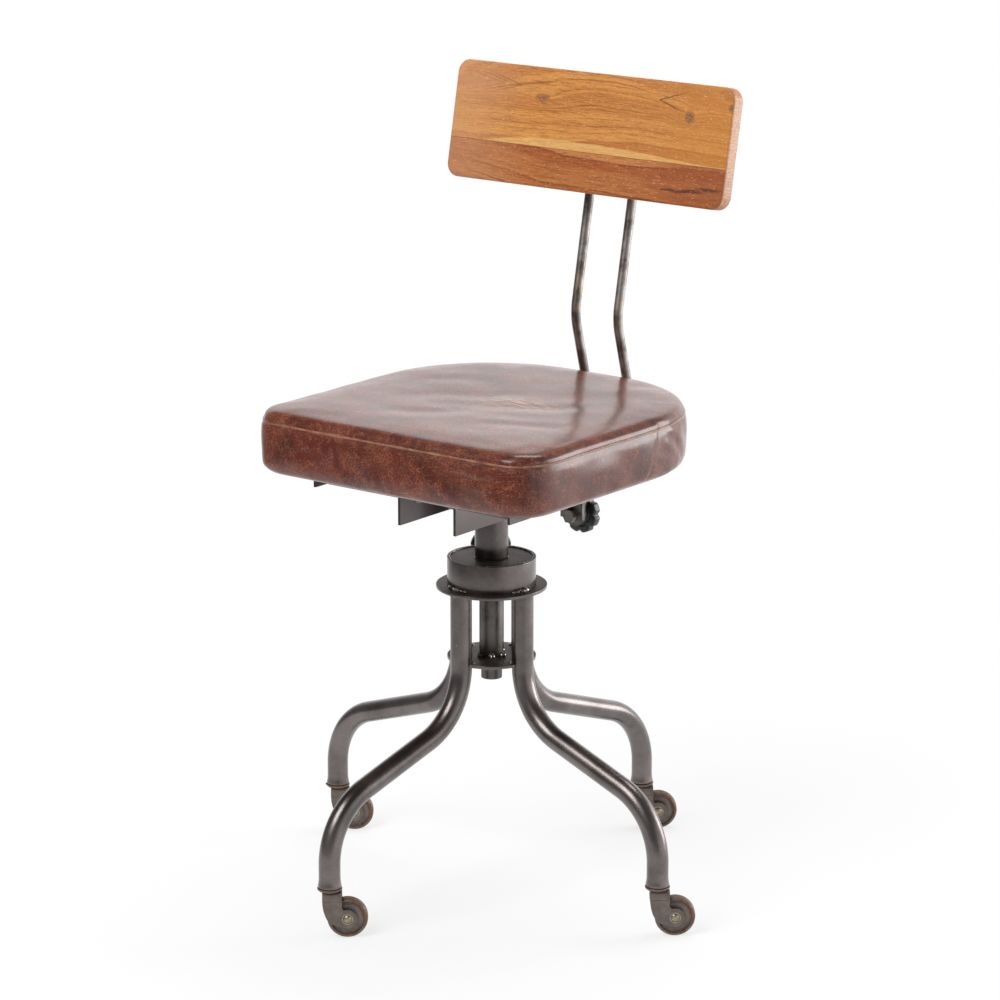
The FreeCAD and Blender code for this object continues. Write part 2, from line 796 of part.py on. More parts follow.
def rod_path(side):
    """Centre line of one backrest rod, from its top end down and forward under the seat."""
    x = side * rod_half_spacing
    lean = math.radians(rod_lean)
    waist = V(x, rod_waist_y, rod_waist_z)
    top = waist + V(0, math.sin(lean), math.cos(lean)) * rod_length_above_waist
    run_corner = V(x, rod_waist_y + rod_lower_slope * (rod_waist_z - rod_run_z), rod_run_z)
    end = V(x, foot_plate_rear_y, rod_run_z)
    return bent_path([top, waist, run_corner, end], [rod_waist_radius, rod_run_radius])


def back_rod(side):
    return swept_rod(rod_path(side), rod_radius)


def rod_foot():
    """Cross bar that grips both rods, with a round-ended tongue behind the bracket's fork."""
    half = rod_half_spacing + rod_radius + foot_bar_overhang
    bar_bottom = rod_run_z - foot_bar_height / 2
    bar_top = rod_run_z + foot_bar_height / 2
    bar = block(-half, half, foot_plate_rear_y, foot_plate_rear_y + foot_bar_depth, bar_bottom, bar_top)
    uprights = [e for e in bar.Edges if abs(e.Vertexes[0].Z - e.Vertexes[-1].Z) > 1]
    bar = bar.makeFillet(foot_bar_round, uprights)
    for side in (-1, 1):
        bar = bar.cut(pin_y(rod_radius, foot_plate_y, foot_plate_rear_y + foot_bar_depth + cut_past,
                            side * rod_half_spacing, rod_run_z))
    tongue = block(-foot_plate_half_width, foot_plate_half_width, foot_plate_y, foot_plate_rear_y,
                   back_bolt_z, bar_top)
    tongue = tongue.fuse(pin_y(foot_plate_half_width, foot_plate_y, foot_plate_rear_y, z=back_bolt_z))
    foot = bar.fuse(tongue).removeSplitter()
    return foot.cut(pin_y(back_bolt_radius, foot_plate_y - cut_past, foot_plate_rear_y + cut_past,
                          z=back_bolt_z))


def back_bolt():
    """Clamp bolt: hexagon head ahead of the fork, shank through fork, tongue and knob."""
    head_y = bracket_y - rubbing_gap
    head = hexagon(back_bolt_head_width, head_y - back_bolt_head_height, head_y, 0, back_bolt_z)
    end = back_knob_y + knob_hub_height + knob_thickness + back_bolt_stub
    return head.fuse(pin_y(back_bolt_radius, head_y, end, z=back_bolt_z)).removeSplitter()


# --- Backrest board and its mounting: built upright behind the plane y = 0, then leaned back ----------------
def leaned(shape, rise=0.0):
    """Origin goes to the rods' line at the board's centre height; local Z runs up the rods."""
    placed = moved(shape, 0, 0, board_centre_rise + rise)
    placed.rotate(V(0, 0, 0), V(1, 0, 0), -rod_lean)
    return moved(placed, 0, rod_waist_y, rod_waist_z)


board_back_y = -board_standoff
board_front_y = board_back_y - board_thickness
hat_back_y = -rod_radius
strap_back_y = rod_radius + strap_sheet


def whole_board():
    half = board_length / 2
    corners = [(-half, -board_height / 2), (half, -board_height / 2),
               (half, board_height / 2), (-half, board_height / 2)]
    outline = rounded_outline(corners, [board_corner] * 4, 0)
    board = Part.Face(outline).extrude(V(0, 0, board_thickness))
    rims = [e for e in board.Edges if abs(e.Vertexes[0].Z - e.Vertexes[-1].Z) < 0.01]
    board = board.makeFillet(board_edge_round, rims)
    board.rotate(V(0, 0, 0), V(1, 0, 0), 90)
    board = moved(board, 0, board_back_y)
    for x, z in board_screw_places():
        board = board.cut(pin_y(screw_radius, board_back_y - screw_length, board_back_y + cut_past, x, z))
    return board


def board_plank(upper):
    joint_z = -board_height / 2 + board_joint_share * board_height
    reach = board_length
    keep = block(-reach, reach, board_front_y - cut_past, board_back_y + cut_past,
                 joint_z if upper else -reach, reach if upper else joint_z)
    return leaned(whole_board().common(keep))


def board_screw_places():
    x = hat_half_width + hat_flange / 2
    return [(sx * x, sz * board_screw_rise - hat_drop) for sx in (-1, 1) for sz in (-1, 1)]


def strap_bolt_places():
    x = rod_half_spacing - rod_radius - strap_sheet - strap_bolt_head_radius - strap_bolt_gap
    return [(sx * x, sz * strap_rise - hat_drop) for sx in (-1, 1) for sz in (-1, 1)]


def hat_bracket():
    """Folded top-hat plate between the board and the rods."""
    x0 = hat_half_width
    x1 = hat_half_width + hat_flange
    front = board_back_y
    crown = hat_back_y
    sheet = hat_sheet
    right = [(x1, front), (x1, front + sheet), (x0, front + sheet), (x0, crown)]
    right_in = [(x0 - sheet, crown - sheet), (x0 - sheet, front)]
    outer = right + [(-x, y) for x, y in reversed(right)]
    inner = [(-x, y) for x, y in reversed(right_in)] + right_in
    z0 = -hat_height / 2 - hat_drop
    points = [V(x, y, z0) for x, y in outer + inner]
    hat = Part.Face(Part.makePolygon(points + points[:1])).extrude(V(0, 0, hat_height))
    for x, z in board_screw_places():
        hat = hat.cut(pin_y(screw_radius, front - cut_past, front + sheet + cut_past, x, z))
    for x, z in strap_bolt_places():
        hat = hat.cut(pin_y(strap_bolt_radius, crown - sheet - cut_past, crown + cut_past, x, z))
    return leaned(hat)


def saddle_straps():
    """Two straps that hold the rods against the hat plate, each humped over both rods."""
    straps = []
    outer_foot = rod_half_spacing + rod_radius + strap_sheet
    inner_foot = rod_half_spacing - rod_radius - strap_sheet
    for side in (-1, 1):
        z = side * strap_rise - hat_drop
        z0 = z - strap_width / 2
        z1 = z + strap_width / 2
        web_half = inner_foot + strap_sheet
        strap = block(-web_half, web_half, hat_back_y, hat_back_y + strap_sheet, z0, z1)
        for hand in (-1, 1):
            x = hand * rod_half_spacing
            hump_half = rod_radius + strap_sheet
            hump = cyl(hump_half, z0, z1, x, 0)
            hump = hump.fuse(block(x - hump_half, x + hump_half, hat_back_y, 0, z0, z1))
            strap = strap.fuse(hump)
        keep = block(-outer_foot, outer_foot, hat_back_y, strap_back_y, z0, z1)
        strap = strap.common(keep)
        for hand in (-1, 1):
            x = hand * rod_half_spacing
            channel = cyl(rod_radius, z0 - cut_past, z1 + cut_past, x, 0)
            mouth = block(x - rod_radius, x + rod_radius, hat_back_y - cut_past, 0,
                          z0 - cut_past, z1 + cut_past)
            strap = strap.cut(channel.fuse(mouth))
        for bolt_x, bolt_z in strap_bolt_places():
            if abs(bolt_z - z) < 1:
                hole_end = hat_back_y + strap_sheet + cut_past
                strap = strap.cut(pin_y(strap_bolt_radius, hat_back_y - cut_past, hole_end, bolt_x, bolt_z))
        straps.append(strap.removeSplitter())
    return leaned(Part.makeCompound(straps))


def strap_bolts():
    """Small bolts through strap and hat plate, domed heads behind and nuts inside the hat."""
    bolts = []
    for x, z in strap_bolt_places():
        head_y = hat_back_y + strap_sheet
        nut_y = hat_back_y - hat_sheet
        shank = pin_y(strap_bolt_radius, nut_y, head_y, x, z)
        head = pin_y(strap_bolt_head_radius, head_y, head_y + strap_bolt_head_height, x, z)
        nut = hexagon(2 * strap_bolt_head_radius, nut_y - strap_nut_height, nut_y, x, z)
        bolts.append(shank.fuse([head, nut]).removeSplitter())
    return leaned(Part.makeCompound(bolts))


def board_screws():
    """Wood screws from the hat plate's flanges into the board."""
    screws = []
    face_y = board_back_y + hat_sheet
    for x, z in board_screw_places():
        shank = pin_y(screw_radius, board_back_y - screw_length, face_y, x, z)
        head = pin_y(screw_head_radius, face_y, face_y + screw_head_height, x, z)
        screws.append(shank.fuse(head).removeSplitter())
    return leaned(Part.makeCompound(screws))


# --- Assembly ----------------
def build_base():
    for corner in base_corners:
        parts["leg_" + corner] = turned(leg(corner), base_turn)
        parts["caster_fork_" + corner] = turned(at_foot(caster_fork(), corner), base_turn)
        parts["caster_stem_" + corner] = turned(at_foot(caster_stem(), corner), base_turn)
        parts["caster_axle_" + corner] = turned(at_foot(caster_axle(), corner), base_turn)
        parts["caster_wheel_" + corner] = turned(at_foot(caster_wheel(), corner), base_turn)
    for build in (top_flange, spreader_plate, centre_column, housing_drum, housing_cover, guide_bush,
                  lock_boss, clamp_pad, stem_sockets, foot_washers, lock_screw, lock_knob, spindle):
        parts[build.__name__] = turned(build(), base_turn)


def build_seat():
    for build in (thrust_ball, seat_post, post_bushes, post_plug, seat_channel, seat_pan, rail_screws,
                  channel_bolts, seat_board, seat_cushion, back_bracket, bracket_bolts):
        parts[build.__name__] = build()
    parts["seat_rail_left"] = seat_rail(-1)
    parts["seat_rail_right"] = seat_rail(1)


def build_backrest():
    parts["back_rod_left"] = back_rod(-1)
    parts["back_rod_right"] = back_rod(1)
    parts["board_upper_plank"] = board_plank(True)
    parts["board_lower_plank"] = board_plank(False)
    for build in (rod_foot, back_bolt, clamp_washer, back_knob, hat_bracket, saddle_straps, strap_bolts,
                  board_screws):
        parts[build.__name__] = build()


build_base()
build_seat()
build_backrest()
os.makedirs("parts", exist_ok=True)
for name, shape in parts.items():
    shape.exportStep("parts/" + name + ".step")
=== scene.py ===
"""Dresses the frame of an old workshop swivel chair: leather seat, plank backrest, bent tube base.

Laid out as an add-on and run as a script. Sizes of pieces are in millimetres, and MM turns them
into the metres of the scene. The lights, and distances inside a finish, are in metres.
"""
import bmesh
import bpy
import json
import math
from math import cos, exp, pi, radians, sin
from bpy.props import FloatProperty, FloatVectorProperty, PointerProperty
from mathutils import Matrix, Vector, noise
from mathutils.bvhtree import BVHTree


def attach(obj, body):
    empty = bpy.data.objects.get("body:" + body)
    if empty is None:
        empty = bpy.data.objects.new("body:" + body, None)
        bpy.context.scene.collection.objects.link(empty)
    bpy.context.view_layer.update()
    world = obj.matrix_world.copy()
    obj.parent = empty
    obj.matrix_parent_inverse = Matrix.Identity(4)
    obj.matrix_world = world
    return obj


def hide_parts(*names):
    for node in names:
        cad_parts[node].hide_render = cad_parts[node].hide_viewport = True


bl_info = {
    "name": "Workshop Swivel Chair",
    "version": (1, 0, 0),
    "blender": (4, 5, 0),
    "location": "View3D > Sidebar > Chair",
    "description": "Dresses the frame of a swivel chair with leather, wood and steel",
    "category": "Object",
}

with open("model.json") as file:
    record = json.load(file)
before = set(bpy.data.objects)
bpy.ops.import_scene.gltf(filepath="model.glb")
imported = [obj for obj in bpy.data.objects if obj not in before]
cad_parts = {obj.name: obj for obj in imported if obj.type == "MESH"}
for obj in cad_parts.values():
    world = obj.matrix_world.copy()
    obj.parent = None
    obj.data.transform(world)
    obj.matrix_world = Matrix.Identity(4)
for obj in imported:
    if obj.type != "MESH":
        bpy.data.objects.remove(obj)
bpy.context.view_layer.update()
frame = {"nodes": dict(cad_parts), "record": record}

MM = 0.001
POLE = 0.02                     # a ring narrower than this closes to a point on the axis
WHITE = (1.0, 1.0, 1.0)
UP = Vector((0, 0, 1))
CORNERS = {"front": (-1, -1), "right": (1, -1), "rear": (1, 1), "left": (-1, 1)}
BASE = Matrix.Rotation(radians(38.3), 4, "Z")     # the base stands turned under the seat


def tint(code):
    """Linear colour for a web colour code such as c2844c."""
    shares = [int(code[i:i + 2], 16) / 255 for i in (0, 2, 4)]
    return tuple(s / 12.92 if s <= 0.04045 else ((s + 0.055) / 1.055) ** 2.4 for s in shares)


def colour(name, description, code):
    return FloatVectorProperty(name=name, description=description, subtype="COLOR", size=3,
                               min=0.0, max=1.0, default=tint(code))


def length(name, description, millimetres):
    return FloatProperty(name=name, description=description, unit="LENGTH",
                         default=millimetres * MM)


def power(name, description, watts):
    return FloatProperty(name=name, description=description, unit="POWER", default=watts)


# --- Sizes and colours a user would change ----------------------------------------------------
class LeatherLook(bpy.types.PropertyGroup):
    hide: colour("Hide", "Main colour of the leather", "551d11")
    shade: colour("Shade", "Darker blotches in the leather", "40160c")
    warm: colour("Warm", "Redder, lighter blotches", "682816")
    crackle: colour("Crackle", "Fine light cracks in the finish", "aa6c4c")
    # Also used for the painted reflection of the floor along the seat's bottom edge.
    worn: colour("Worn", "Rubbed places and edges", "b48566")
    piping_radius: length("Piping radius", "Radius of the cord sewn into the seam", 1.2)
    crease_depth: length("Crease depth", "Depth of the long creases in the seat", 0.65)
    swell: length("Swell", "How far the padding may push the leather out", 1.5)


class WoodLook(bpy.types.PropertyGroup):
    gold: colour("Gold", "Upper plank", "b5702c")
    gold_dark: colour("Gold, late wood", "Dark lines in the upper plank", "814312")
    gold_pale: colour("Gold, early wood", "Pale lines in the upper plank", "cb8a40")
    sapwood: colour("Sapwood", "Pale streak at the joint", "d9ab69")
    red: colour("Red", "Lower plank", "9f531c")
    red_dark: colour("Red, late wood", "Dark lines in the lower plank", "62260b")
    red_pale: colour("Red, early wood", "Pale lines in the lower plank", "bd793c")
    knot: colour("Knot", "Core of the knots", "7a4a2c")
    end_grain: colour("End grain", "Sawn ends of the planks", "cd9f7d")
    edge_radius: length("Edge radius", "Rounding of the board's edges", 2.6)


class MetalLook(bpy.types.PropertyGroup):
    graphite: colour("Graphite", "Lacquered steel of the frame", "7a7270")
    graphite_dark: colour("Graphite, dark", "Darker patches of the lacquered steel", "554f4e")
    bare: colour("Bare steel", "Bright fasteners", "8f8a86")
    brassy: colour("Brassy flecks", "Flecks where the rods' plating is worn", "b39264")
    weld: colour("Weld", "Weld beads", "b3aca7")
    iron: colour("Caster iron", "Caster forks and wheels", "786d67")
    rust: colour("Rust", "Rust at the washers and wheel edges", "5c3a26")
    brass: colour("Brass", "Rivets of the casters", "a59a88")
    plastic: colour("Plastic", "Hand knobs", "171514")


class StageLook(bpy.types.PropertyGroup):
    floor: colour("Floor", "Plain floor", "e6e6e6")
    key_power: power("Key light", "Power of the large soft light", 60.0)
    side_power: power("Side light", "Power of the light from the side", 30.8)
    top_power: power("Top light", "Power of the light from above", 22.0)
    sky: FloatProperty(name="Room light", description="Strength of the light from all round",
                       default=0.62)


LOOKS = {"leather": LeatherLook, "wood": WoodLook, "metal": MetalLook, "stage": StageLook}


def look(kind):
    return getattr(bpy.context.scene, "chair_" + kind)


# --- Outlines and meshes ----------------------------------------------------------------------
def mm(x, y, z):
    return Vector((x, y, z)) * MM


def turns(count):
    return [2 * pi * i / count for i in range(count)]


def polar(radius, angle, height):
    """Point at a distance and an angle round the Z axis."""
    return mm(radius * cos(angle), radius * sin(angle), height)


def arc(centre, radius, start, end, steps):
    """Points of a round bend, from one angle to another in degrees."""
    angles = [radians(start + (end - start) * k / steps) for k in range(steps + 1)]
    centre = Vector(centre)
    return [centre + Vector((cos(a), sin(a))) * radius for a in angles]


def rounded(corners, steps):
    """Outline round the origin, from the ((x, y), radius, first angle) of each round corner."""
    points = []
    for (x, y), radius, start in corners:
        centre = (x - math.copysign(radius, x), y - math.copysign(radius, y))
        points += arc(centre, radius, start, start + 90, steps)
    return points


def drawn(start, corner, end, steps):
    """Points of a soft bend from start to end, drawn towards the corner."""
    shares = [k / steps for k in range(steps + 1)]
    return [start * (1 - t) ** 2 + corner * (2 * t * (1 - t)) + end * t * t for t in shares]


def eased(outline, radii, steps=4):
    """Closed outline with its corners rounded off, all alike or each by its own radius."""
    points = [Vector(p) for p in outline]
    count = len(points)
    if not isinstance(radii, list):
        radii = [radii] * count
    result = []
    for i, corner in enumerate(points):
        before = points[i - 1] - corner
        after = points[(i + 1) % count] - corner
        reach = min(radii[i], before.length * 0.45, after.length * 0.45)
        result += drawn(corner + before.normalized() * reach, corner,
                        corner + after.normalized() * reach, steps)
    return result


def join_rings(bm, near, far):
    """Faces between two rings of vertices; a ring of one vertex is a pole."""
    count = max(len(near), len(far))
    for i in range(count):
        j = (i + 1) % count
        corners = [near[i % len(near)], near[j % len(near)], far[j % len(far)], far[i % len(far)]]
        unique = list(dict.fromkeys(corners))
        if len(unique) > 2:
            bm.faces.new(unique)


def skin(bm, rings, ends=(0, -1)):
    """Faces from ring to ring of points, and over the ends; without ends it closes on itself."""
    rings = [[bm.verts.new(point) for point in ring] for ring in rings]
    for near, far in zip(rings, rings[1:] if ends else rings[1:] + rings[:1]):
        join_rings(bm, near, far)
    for end in ends:
        bm.faces.new(rings[end])


def lathe(bm, profile, place=Matrix(), sides=96, ease=0.5):
    """Turned shape about Z from a closed list of (radius, height)."""
    rings = []
    for radius, height in eased(profile, ease) if ease else profile:
        if radius < POLE:
            rings.append([place @ mm(0, 0, height)])
        else:
            rings.append([place @ polar(radius, a, height) for a in turns(sides)])
    skin(bm, rings, ends=())


def bent_line(corners, radii, steps=20):
    """Points along straight runs joined by round bends."""
    line = [corners[0]]
    for before, corner, after, radius in zip(corners, corners[1:], corners[2:], radii):
        into = (corner - before).normalized()
        out = (after - corner).normalized()
        half = into.angle(out) / 2
        centre = corner + (out - into).normalized() * (radius / cos(half))
        spoke = corner - into * (radius * math.tan(half)) - centre
        axis = into.cross(out).normalized()
        for k in range(steps + 1):
            line.append(centre + Matrix.Rotation(2 * half * k / steps, 3, axis) @ spoke)
    line.append(corners[-1])
    return line


def sweep(bm, centres, radii, across, sides, closed=False, level=0):
    """Round bar through the centres, with across square to the plane that it bends in.

    The last level rings keep the tilt of the ring before them.
    """
    rings = []
    last = len(centres) - 1
    for i, centre in enumerate(centres):
        if i <= last - level:
            before = centres[i - 1] if closed or i > 0 else centre
            after = centres[(i + 1) % len(centres)] if closed or i < last else centre
            inward = (after - before).normalized().cross(across).normalized()
        rings.append([centre + (across * cos(a) + inward * sin(a)) * radii[i]
                      for a in turns(sides)])
    skin(bm, rings, () if closed else (0, -1))


def prism(bm, outline, depth):
    """Solid from a flat closed outline of points, pushed along depth."""
    skin(bm, [outline, [point + depth for point in outline]])


def closed_mesh(name, bm, material, sharp=32.0):
    bmesh.ops.recalc_face_normals(bm, faces=bm.faces)
    mesh = bpy.data.meshes.new(name)
    bm.to_mesh(mesh)
    bm.free()
    mesh.shade_smooth()
    mesh.set_sharp_from_angle(angle=radians(sharp))
    mesh.materials.append(material)
    return mesh


def set_down(name, mesh, body, stands_for=(), place=Matrix(), edge=0.0):
    """Puts a finished mesh on its body, in place of the frame's own nodes, with its edges eased."""
    piece = bpy.data.objects.new(name, mesh)
    bpy.context.scene.collection.objects.link(piece)
    piece.matrix_world = place
    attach(piece, body)
    if stands_for:
        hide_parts(*stands_for)
    if edge:
        bevel = piece.modifiers.new("edges", "BEVEL")
        bevel.width = edge * MM
        bevel.segments = 2
        bevel.limit_method = "ANGLE"
        bevel.angle_limit = radians(30.0)
        bevel.harden_normals = True


def make(name, bm, body, material, stands_for=(), place=Matrix(), sharp=32.0, edge=0.0):
    mesh = closed_mesh(name, bm, material, sharp)
    set_down(name, mesh, body, stands_for, place, edge)


# --- Finishes ---------------------------------------------------------------------------------
class Finish:
    """A node material under construction. Colours are web codes, settings or other sockets."""

    def __init__(self, name, **shader):
        self.material = bpy.data.materials.new(name)
        self.material.use_nodes = True
        self.tree = self.material.node_tree
        self.shader = self.tree.nodes["Principled BSDF"]
        self.set(**shader)
        coordinates = self.node("ShaderNodeTexCoord").outputs
        self.place = coordinates["Object"]
        self.facing = coordinates["Normal"]

    def node(self, kind, inputs=None, **settings):
        made = self.tree.nodes.new(kind)
        for key, value in settings.items():
            setattr(made, key, value)
        for key, value in (inputs or {}).items():
            self.feed(made.inputs[key], value)
        return made

    def feed(self, socket, value):
        if isinstance(value, str):
            value = tint(value)
        if isinstance(value, bpy.types.NodeSocket):
            self.tree.links.new(value, socket)
        elif socket.type == "RGBA":
            socket.default_value = (*value, 1.0)
        else:
            socket.default_value = value

    def set(self, **sockets):
        for key, value in sockets.items():
            self.feed(self.shader.inputs[key.replace("_", " ")], value)

    def done(self, rough, relief, **more):
        """The material, with its base colour, roughness and relief in place."""
        self.set(Base_Color=self.base, Roughness=rough, Normal=relief, **more)
        return self.material

    def math(self, operation, a, b=0.0, c=0.0):
        return self.node("ShaderNodeMath", {0: a, 1: b, 2: c}, operation=operation).outputs[0]

    def vector(self, operation, *inputs):
        made = self.node("ShaderNodeVectorMath", dict(enumerate(inputs)), operation=operation)
        return made.outputs["Value" if operation in ("LENGTH", "DOT_PRODUCT") else "Vector"]

    def plus(self, a, b):
        return self.math("ADD", a, b)

    def less(self, a, b):
        return self.math("SUBTRACT", a, b)

    def times(self, a, b):
        return self.math("MULTIPLY", a, b)

    def times_plus(self, a, b, c):
        return self.math("MULTIPLY_ADD", a, b, c)

    def more(self, a, b):
        return self.math("MAXIMUM", a, b)

    def gap(self, a, b):
        return self.math("ABSOLUTE", self.less(a, b))

    def axis(self, name, place=None):
        return self.node("ShaderNodeSeparateXYZ", {0: place or self.place}).outputs[name]

    def stretched(self, x, y, z, place=None):
        return self.vector("MULTIPLY", place or self.place, (x, y, z))

    def noise(self, scale, detail=3.0, rough=0.55, place=None):
        return self.node("ShaderNodeTexNoise", {
            "Vector": place or self.place, "Scale": scale, "Detail": detail,
            "Roughness": rough}).outputs["Fac"]

    def fibres(self, x, y, z, detail, rough, place=None):
        """Noise with its own scale along each axis."""
        return self.noise(1.0, detail, rough, self.stretched(x, y, z, place))

    def lines(self, value, scale, detail, rough=0.6):
        """Irregular stripes along a value."""
        return self.node("ShaderNodeTexNoise", {
            "W": self.times(value, scale), "Scale": 1.0, "Detail": detail,
            "Roughness": rough}, noise_dimensions="1D").outputs["Fac"]

    def cracks(self, scale, place=None):
        return self.node("ShaderNodeTexVoronoi", {"Vector": place or self.place, "Scale": scale},
                         feature="DISTANCE_TO_EDGE").outputs["Distance"]

    def shifted(self, amount, scale):
        """The place, pushed about by noise, so that cells and lines look grown."""
        wander = self.node("ShaderNodeTexNoise", {
            "Vector": self.place, "Scale": scale, "Detail": 2.0}).outputs["Color"]
        centred = self.vector("SUBTRACT", wander, (0.5, 0.5, 0.5))
        return self.vector("MULTIPLY_ADD", centred, (amount,) * 3, self.place)

    def band(self, value, low, high, to_low=0.0, to_high=1.0):
        """Smooth step from low to high."""
        return self.node("ShaderNodeMapRange", {0: value, 1: low, 2: high, 3: to_low, 4: to_high},
                         interpolation_type="SMOOTHSTEP").outputs[0]

    def blend(self, share, a, b):
        return self.node("ShaderNodeMix", {0: share, 6: a, 7: b}, data_type="RGBA").outputs[2]

    def coat(self, share, tone):
        """Lays a share of a tone over the base colour."""
        self.base = self.blend(share, self.base, tone)

    def spot(self, centre, size, place=None):
        """One at the centre, falling smoothly to nothing over the size. In millimetres."""
        away = self.vector("SUBTRACT", place or self.place, mm(*centre))
        distance = self.vector("LENGTH", self.stretched(*(1 / (s * MM) for s in size), place=away))
        return self.math("POWER", math.e, self.times(self.math("POWER", distance, 2.0), -1.0))

    def bump(self, height, depth, strength, under=None):
        inputs = {"Strength": strength, "Distance": depth * MM, "Height": height}
        if under:
            inputs["Normal"] = under
        return self.node("ShaderNodeBump", inputs).outputs[0]


def lacquered_steel(name, dark=0.0, rust_at_feet=False):
    """Graphite steel under clear lacquer: faint stains, worn flecks, and darker, matt level tops.
    """
    metal = look("metal")
    f = Finish(name, Metallic=1.0, Coat_Roughness=0.12)
    blotch = f.noise(26.0, 4.0, 0.55, f.shifted(0.02, 14.0))
    fine = f.noise(520.0, 3.0, 0.6)
    flecks = f.noise(190.0, 5.0, 0.75)
    # A larger dark turns more of the steel to the darker graphite; the seat frame uses this for
    # painted shade under the seat.
    f.base = f.blend(f.band(blotch, 0.3 + dark, 0.7 + dark, 0.2, 1.0), metal.graphite_dark,
                     metal.graphite)
    f.coat(f.band(f.noise(15.0, 4.0, 0.6), 0.54, 0.78, 0.0, 0.35), "6b5c52")
    f.coat(f.band(fine, 0.35, 0.65, 0.0, 0.14), "2e2b2a")
    f.coat(f.band(flecks, 0.66, 0.74, 0.0, 0.5), "a59e9a")
    # Level upward faces get a darker brownish colour, more roughness and less lacquer.
    level_tops = f.band(f.axis("Z", f.facing), 0.95, 0.99)
    f.coat(f.times(level_tops, 0.7), f.blend(flecks, "2f2825", "6a5f58"))
    rough = f.plus(f.band(blotch, 0.3, 0.7, 0.28, 0.33), f.times(fine, 0.06))
    rough = f.times_plus(level_tops, 0.22, rough)
    if rust_at_feet:
        edge = f.plus(f.axis("Z"), f.times(f.noise(160.0, 4.0), -0.006))
        rusty = f.band(edge, 0.0494, 0.0476)
        f.coat(f.times(rusty, 0.8), f.blend(f.noise(500.0, 4.0), "4a2716", "9a6643"))
        rough = f.plus(rough, f.times(rusty, 0.3))
    return f.done(rough, f.bump(f.plus(f.times(fine, 0.4), blotch), 0.12, 0.2),
                  Coat_Weight=f.times_plus(level_tops, -0.35, 0.4))


def bare_steel(name, tone, shade="5c5754", flecks=0.0):
    """Unpainted steel with fine drawn lines, and brassy flecks where the plating is worn."""
    f = Finish(name, Metallic=0.95)
    fine = f.noise(600.0, 3.0)
    blotch = f.noise(60.0, 4.0, 0.6)
    f.base = f.blend(f.band(blotch, 0.35, 0.65), shade, tone)
    if flecks:
        at_waist = f.spot((0, WAIST[1], WAIST[2] + 22), (60, 60, 26))
        grain = f.times_plus(at_waist, 0.1, f.noise(260.0, 5.0, 0.7, f.stretched(1.0, 1.0, 0.4)))
        f.coat(f.times(f.band(grain, 0.62 - flecks, 0.7 - flecks), 0.8), look("metal").brassy)
    return f.done(f.plus(f.band(blotch, 0.3, 0.7, 0.3, 0.42), f.times(fine, 0.1)),
                  f.bump(fine, 0.08, 0.3))


def weld_metal(name):
    f = Finish(name, Metallic=0.9, Coat_Weight=0.4, Coat_Roughness=0.1)
    lumps = f.noise(500.0, 3.0)
    f.base = f.blend(f.band(f.noise(110.0, 3.0), 0.38, 0.58), "4b423d", look("metal").weld)
    return f.done(f.band(lumps, 0.3, 0.7, 0.18, 0.34), f.bump(lumps, 0.25, 0.5))


def rusty_iron(name, rust_radius=None, most=0.7):
    """Browned cast iron; rust gathers in patches, and beyond a radius from the local axis Y."""
    metal = look("metal")
    f = Finish(name, Metallic=0.55, Specular_IOR_Level=0.4)
    blotch = f.noise(90.0, 5.0, 0.65, f.shifted(0.004, 120.0))
    fine = f.noise(700.0, 3.0, 0.6)
    f.base = f.blend(f.band(blotch, 0.3, 0.7), "5f5650", metal.iron)
    share = f.band(blotch, 0.60, 0.76, 0.0, 0.35)
    if rust_radius:
        away = f.vector("LENGTH", f.stretched(1.0, 0.0, 1.0))
        rim = f.band(f.plus(away, f.times(blotch, 0.004)),
                     (rust_radius + 1.0) * MM, (rust_radius + 3.0) * MM)
        patchy = f.band(f.noise(140.0, 4.0, 0.7), 0.38, 0.62, 0.1, most)
        share = f.more(share, f.times(rim, patchy))
    f.coat(share, f.blend(f.band(fine, 0.35, 0.65), metal.rust, "8f6647"))
    return f.done(f.band(f.plus(share, fine), 0.4, 1.3, 0.42, 0.72),
                  f.bump(f.plus(fine, blotch), 0.25, 0.5))


def dull_brass(name):
    f = Finish(name, Metallic=0.9)
    blotch = f.noise(300.0, 4.0)
    f.base = f.blend(f.band(blotch, 0.35, 0.65), "8a7a64", look("metal").brass)
    return f.done(f.band(blotch, 0.3, 0.7, 0.3, 0.4), f.bump(blotch, 0.05, 0.3))


def knob_plastic(name):
    f = Finish(name, Coat_Weight=0.35, Coat_Roughness=0.25)
    dust = f.noise(70.0, 4.0, 0.6)
    f.base = f.blend(f.band(dust, 0.5, 0.75, 0.0, 0.5), look("metal").plastic, "3a3632")
    return f.done(f.band(dust, 0.3, 0.7, 0.38, 0.6), f.bump(f.noise(900.0, 2.0), 0.08, 0.4))


def plywood(name):
    f = Finish(name)
    grain = f.fibres(30.0, 400.0, 400.0, 4.0, 0.6)
    f.base = f.blend(f.band(grain, 0.3, 0.7), "a9875a", "cdb083")
    f.coat(f.band(f.lines(f.axis("Z"), 900.0, 1.0), 0.45, 0.6, 0.0, 0.4), "84623d")
    return f.done(0.75, f.bump(grain, 0.1, 0.4))


# --- Seat -------------------------------------------------------------------------------------
SEAT_HALF = 177.0
SEAT_FRONT = -173.0
SEAT_REAR = 185.0
FRONT_CORNER = 40.0
REAR_CORNER = 142.0
SEAT_BOTTOM = 436.5
SEAM_HEIGHT = 489.0
SEAT_TOP = 501.0
JOIN_Y = 20.0
CORE_INSET = 60.0
CORE_Y = 4.0
CELL = 5.2
SWELL_FRAMES = 20

SEAT_LEVELS = [
    # how far inside the plan, and height, from the underside up over the rim
    (11.0, 436.8), (5.0, 438.3), (2.6, 443.0), (2.2, 453.0), (2.0, 470.0), (2.2, 484.0),
    (3.0, SEAM_HEIGHT), (4.4, 495.2), (8.5, 499.6), (20.0, 500.6), (45.0, 500.4), (100.0, 500.3),
]


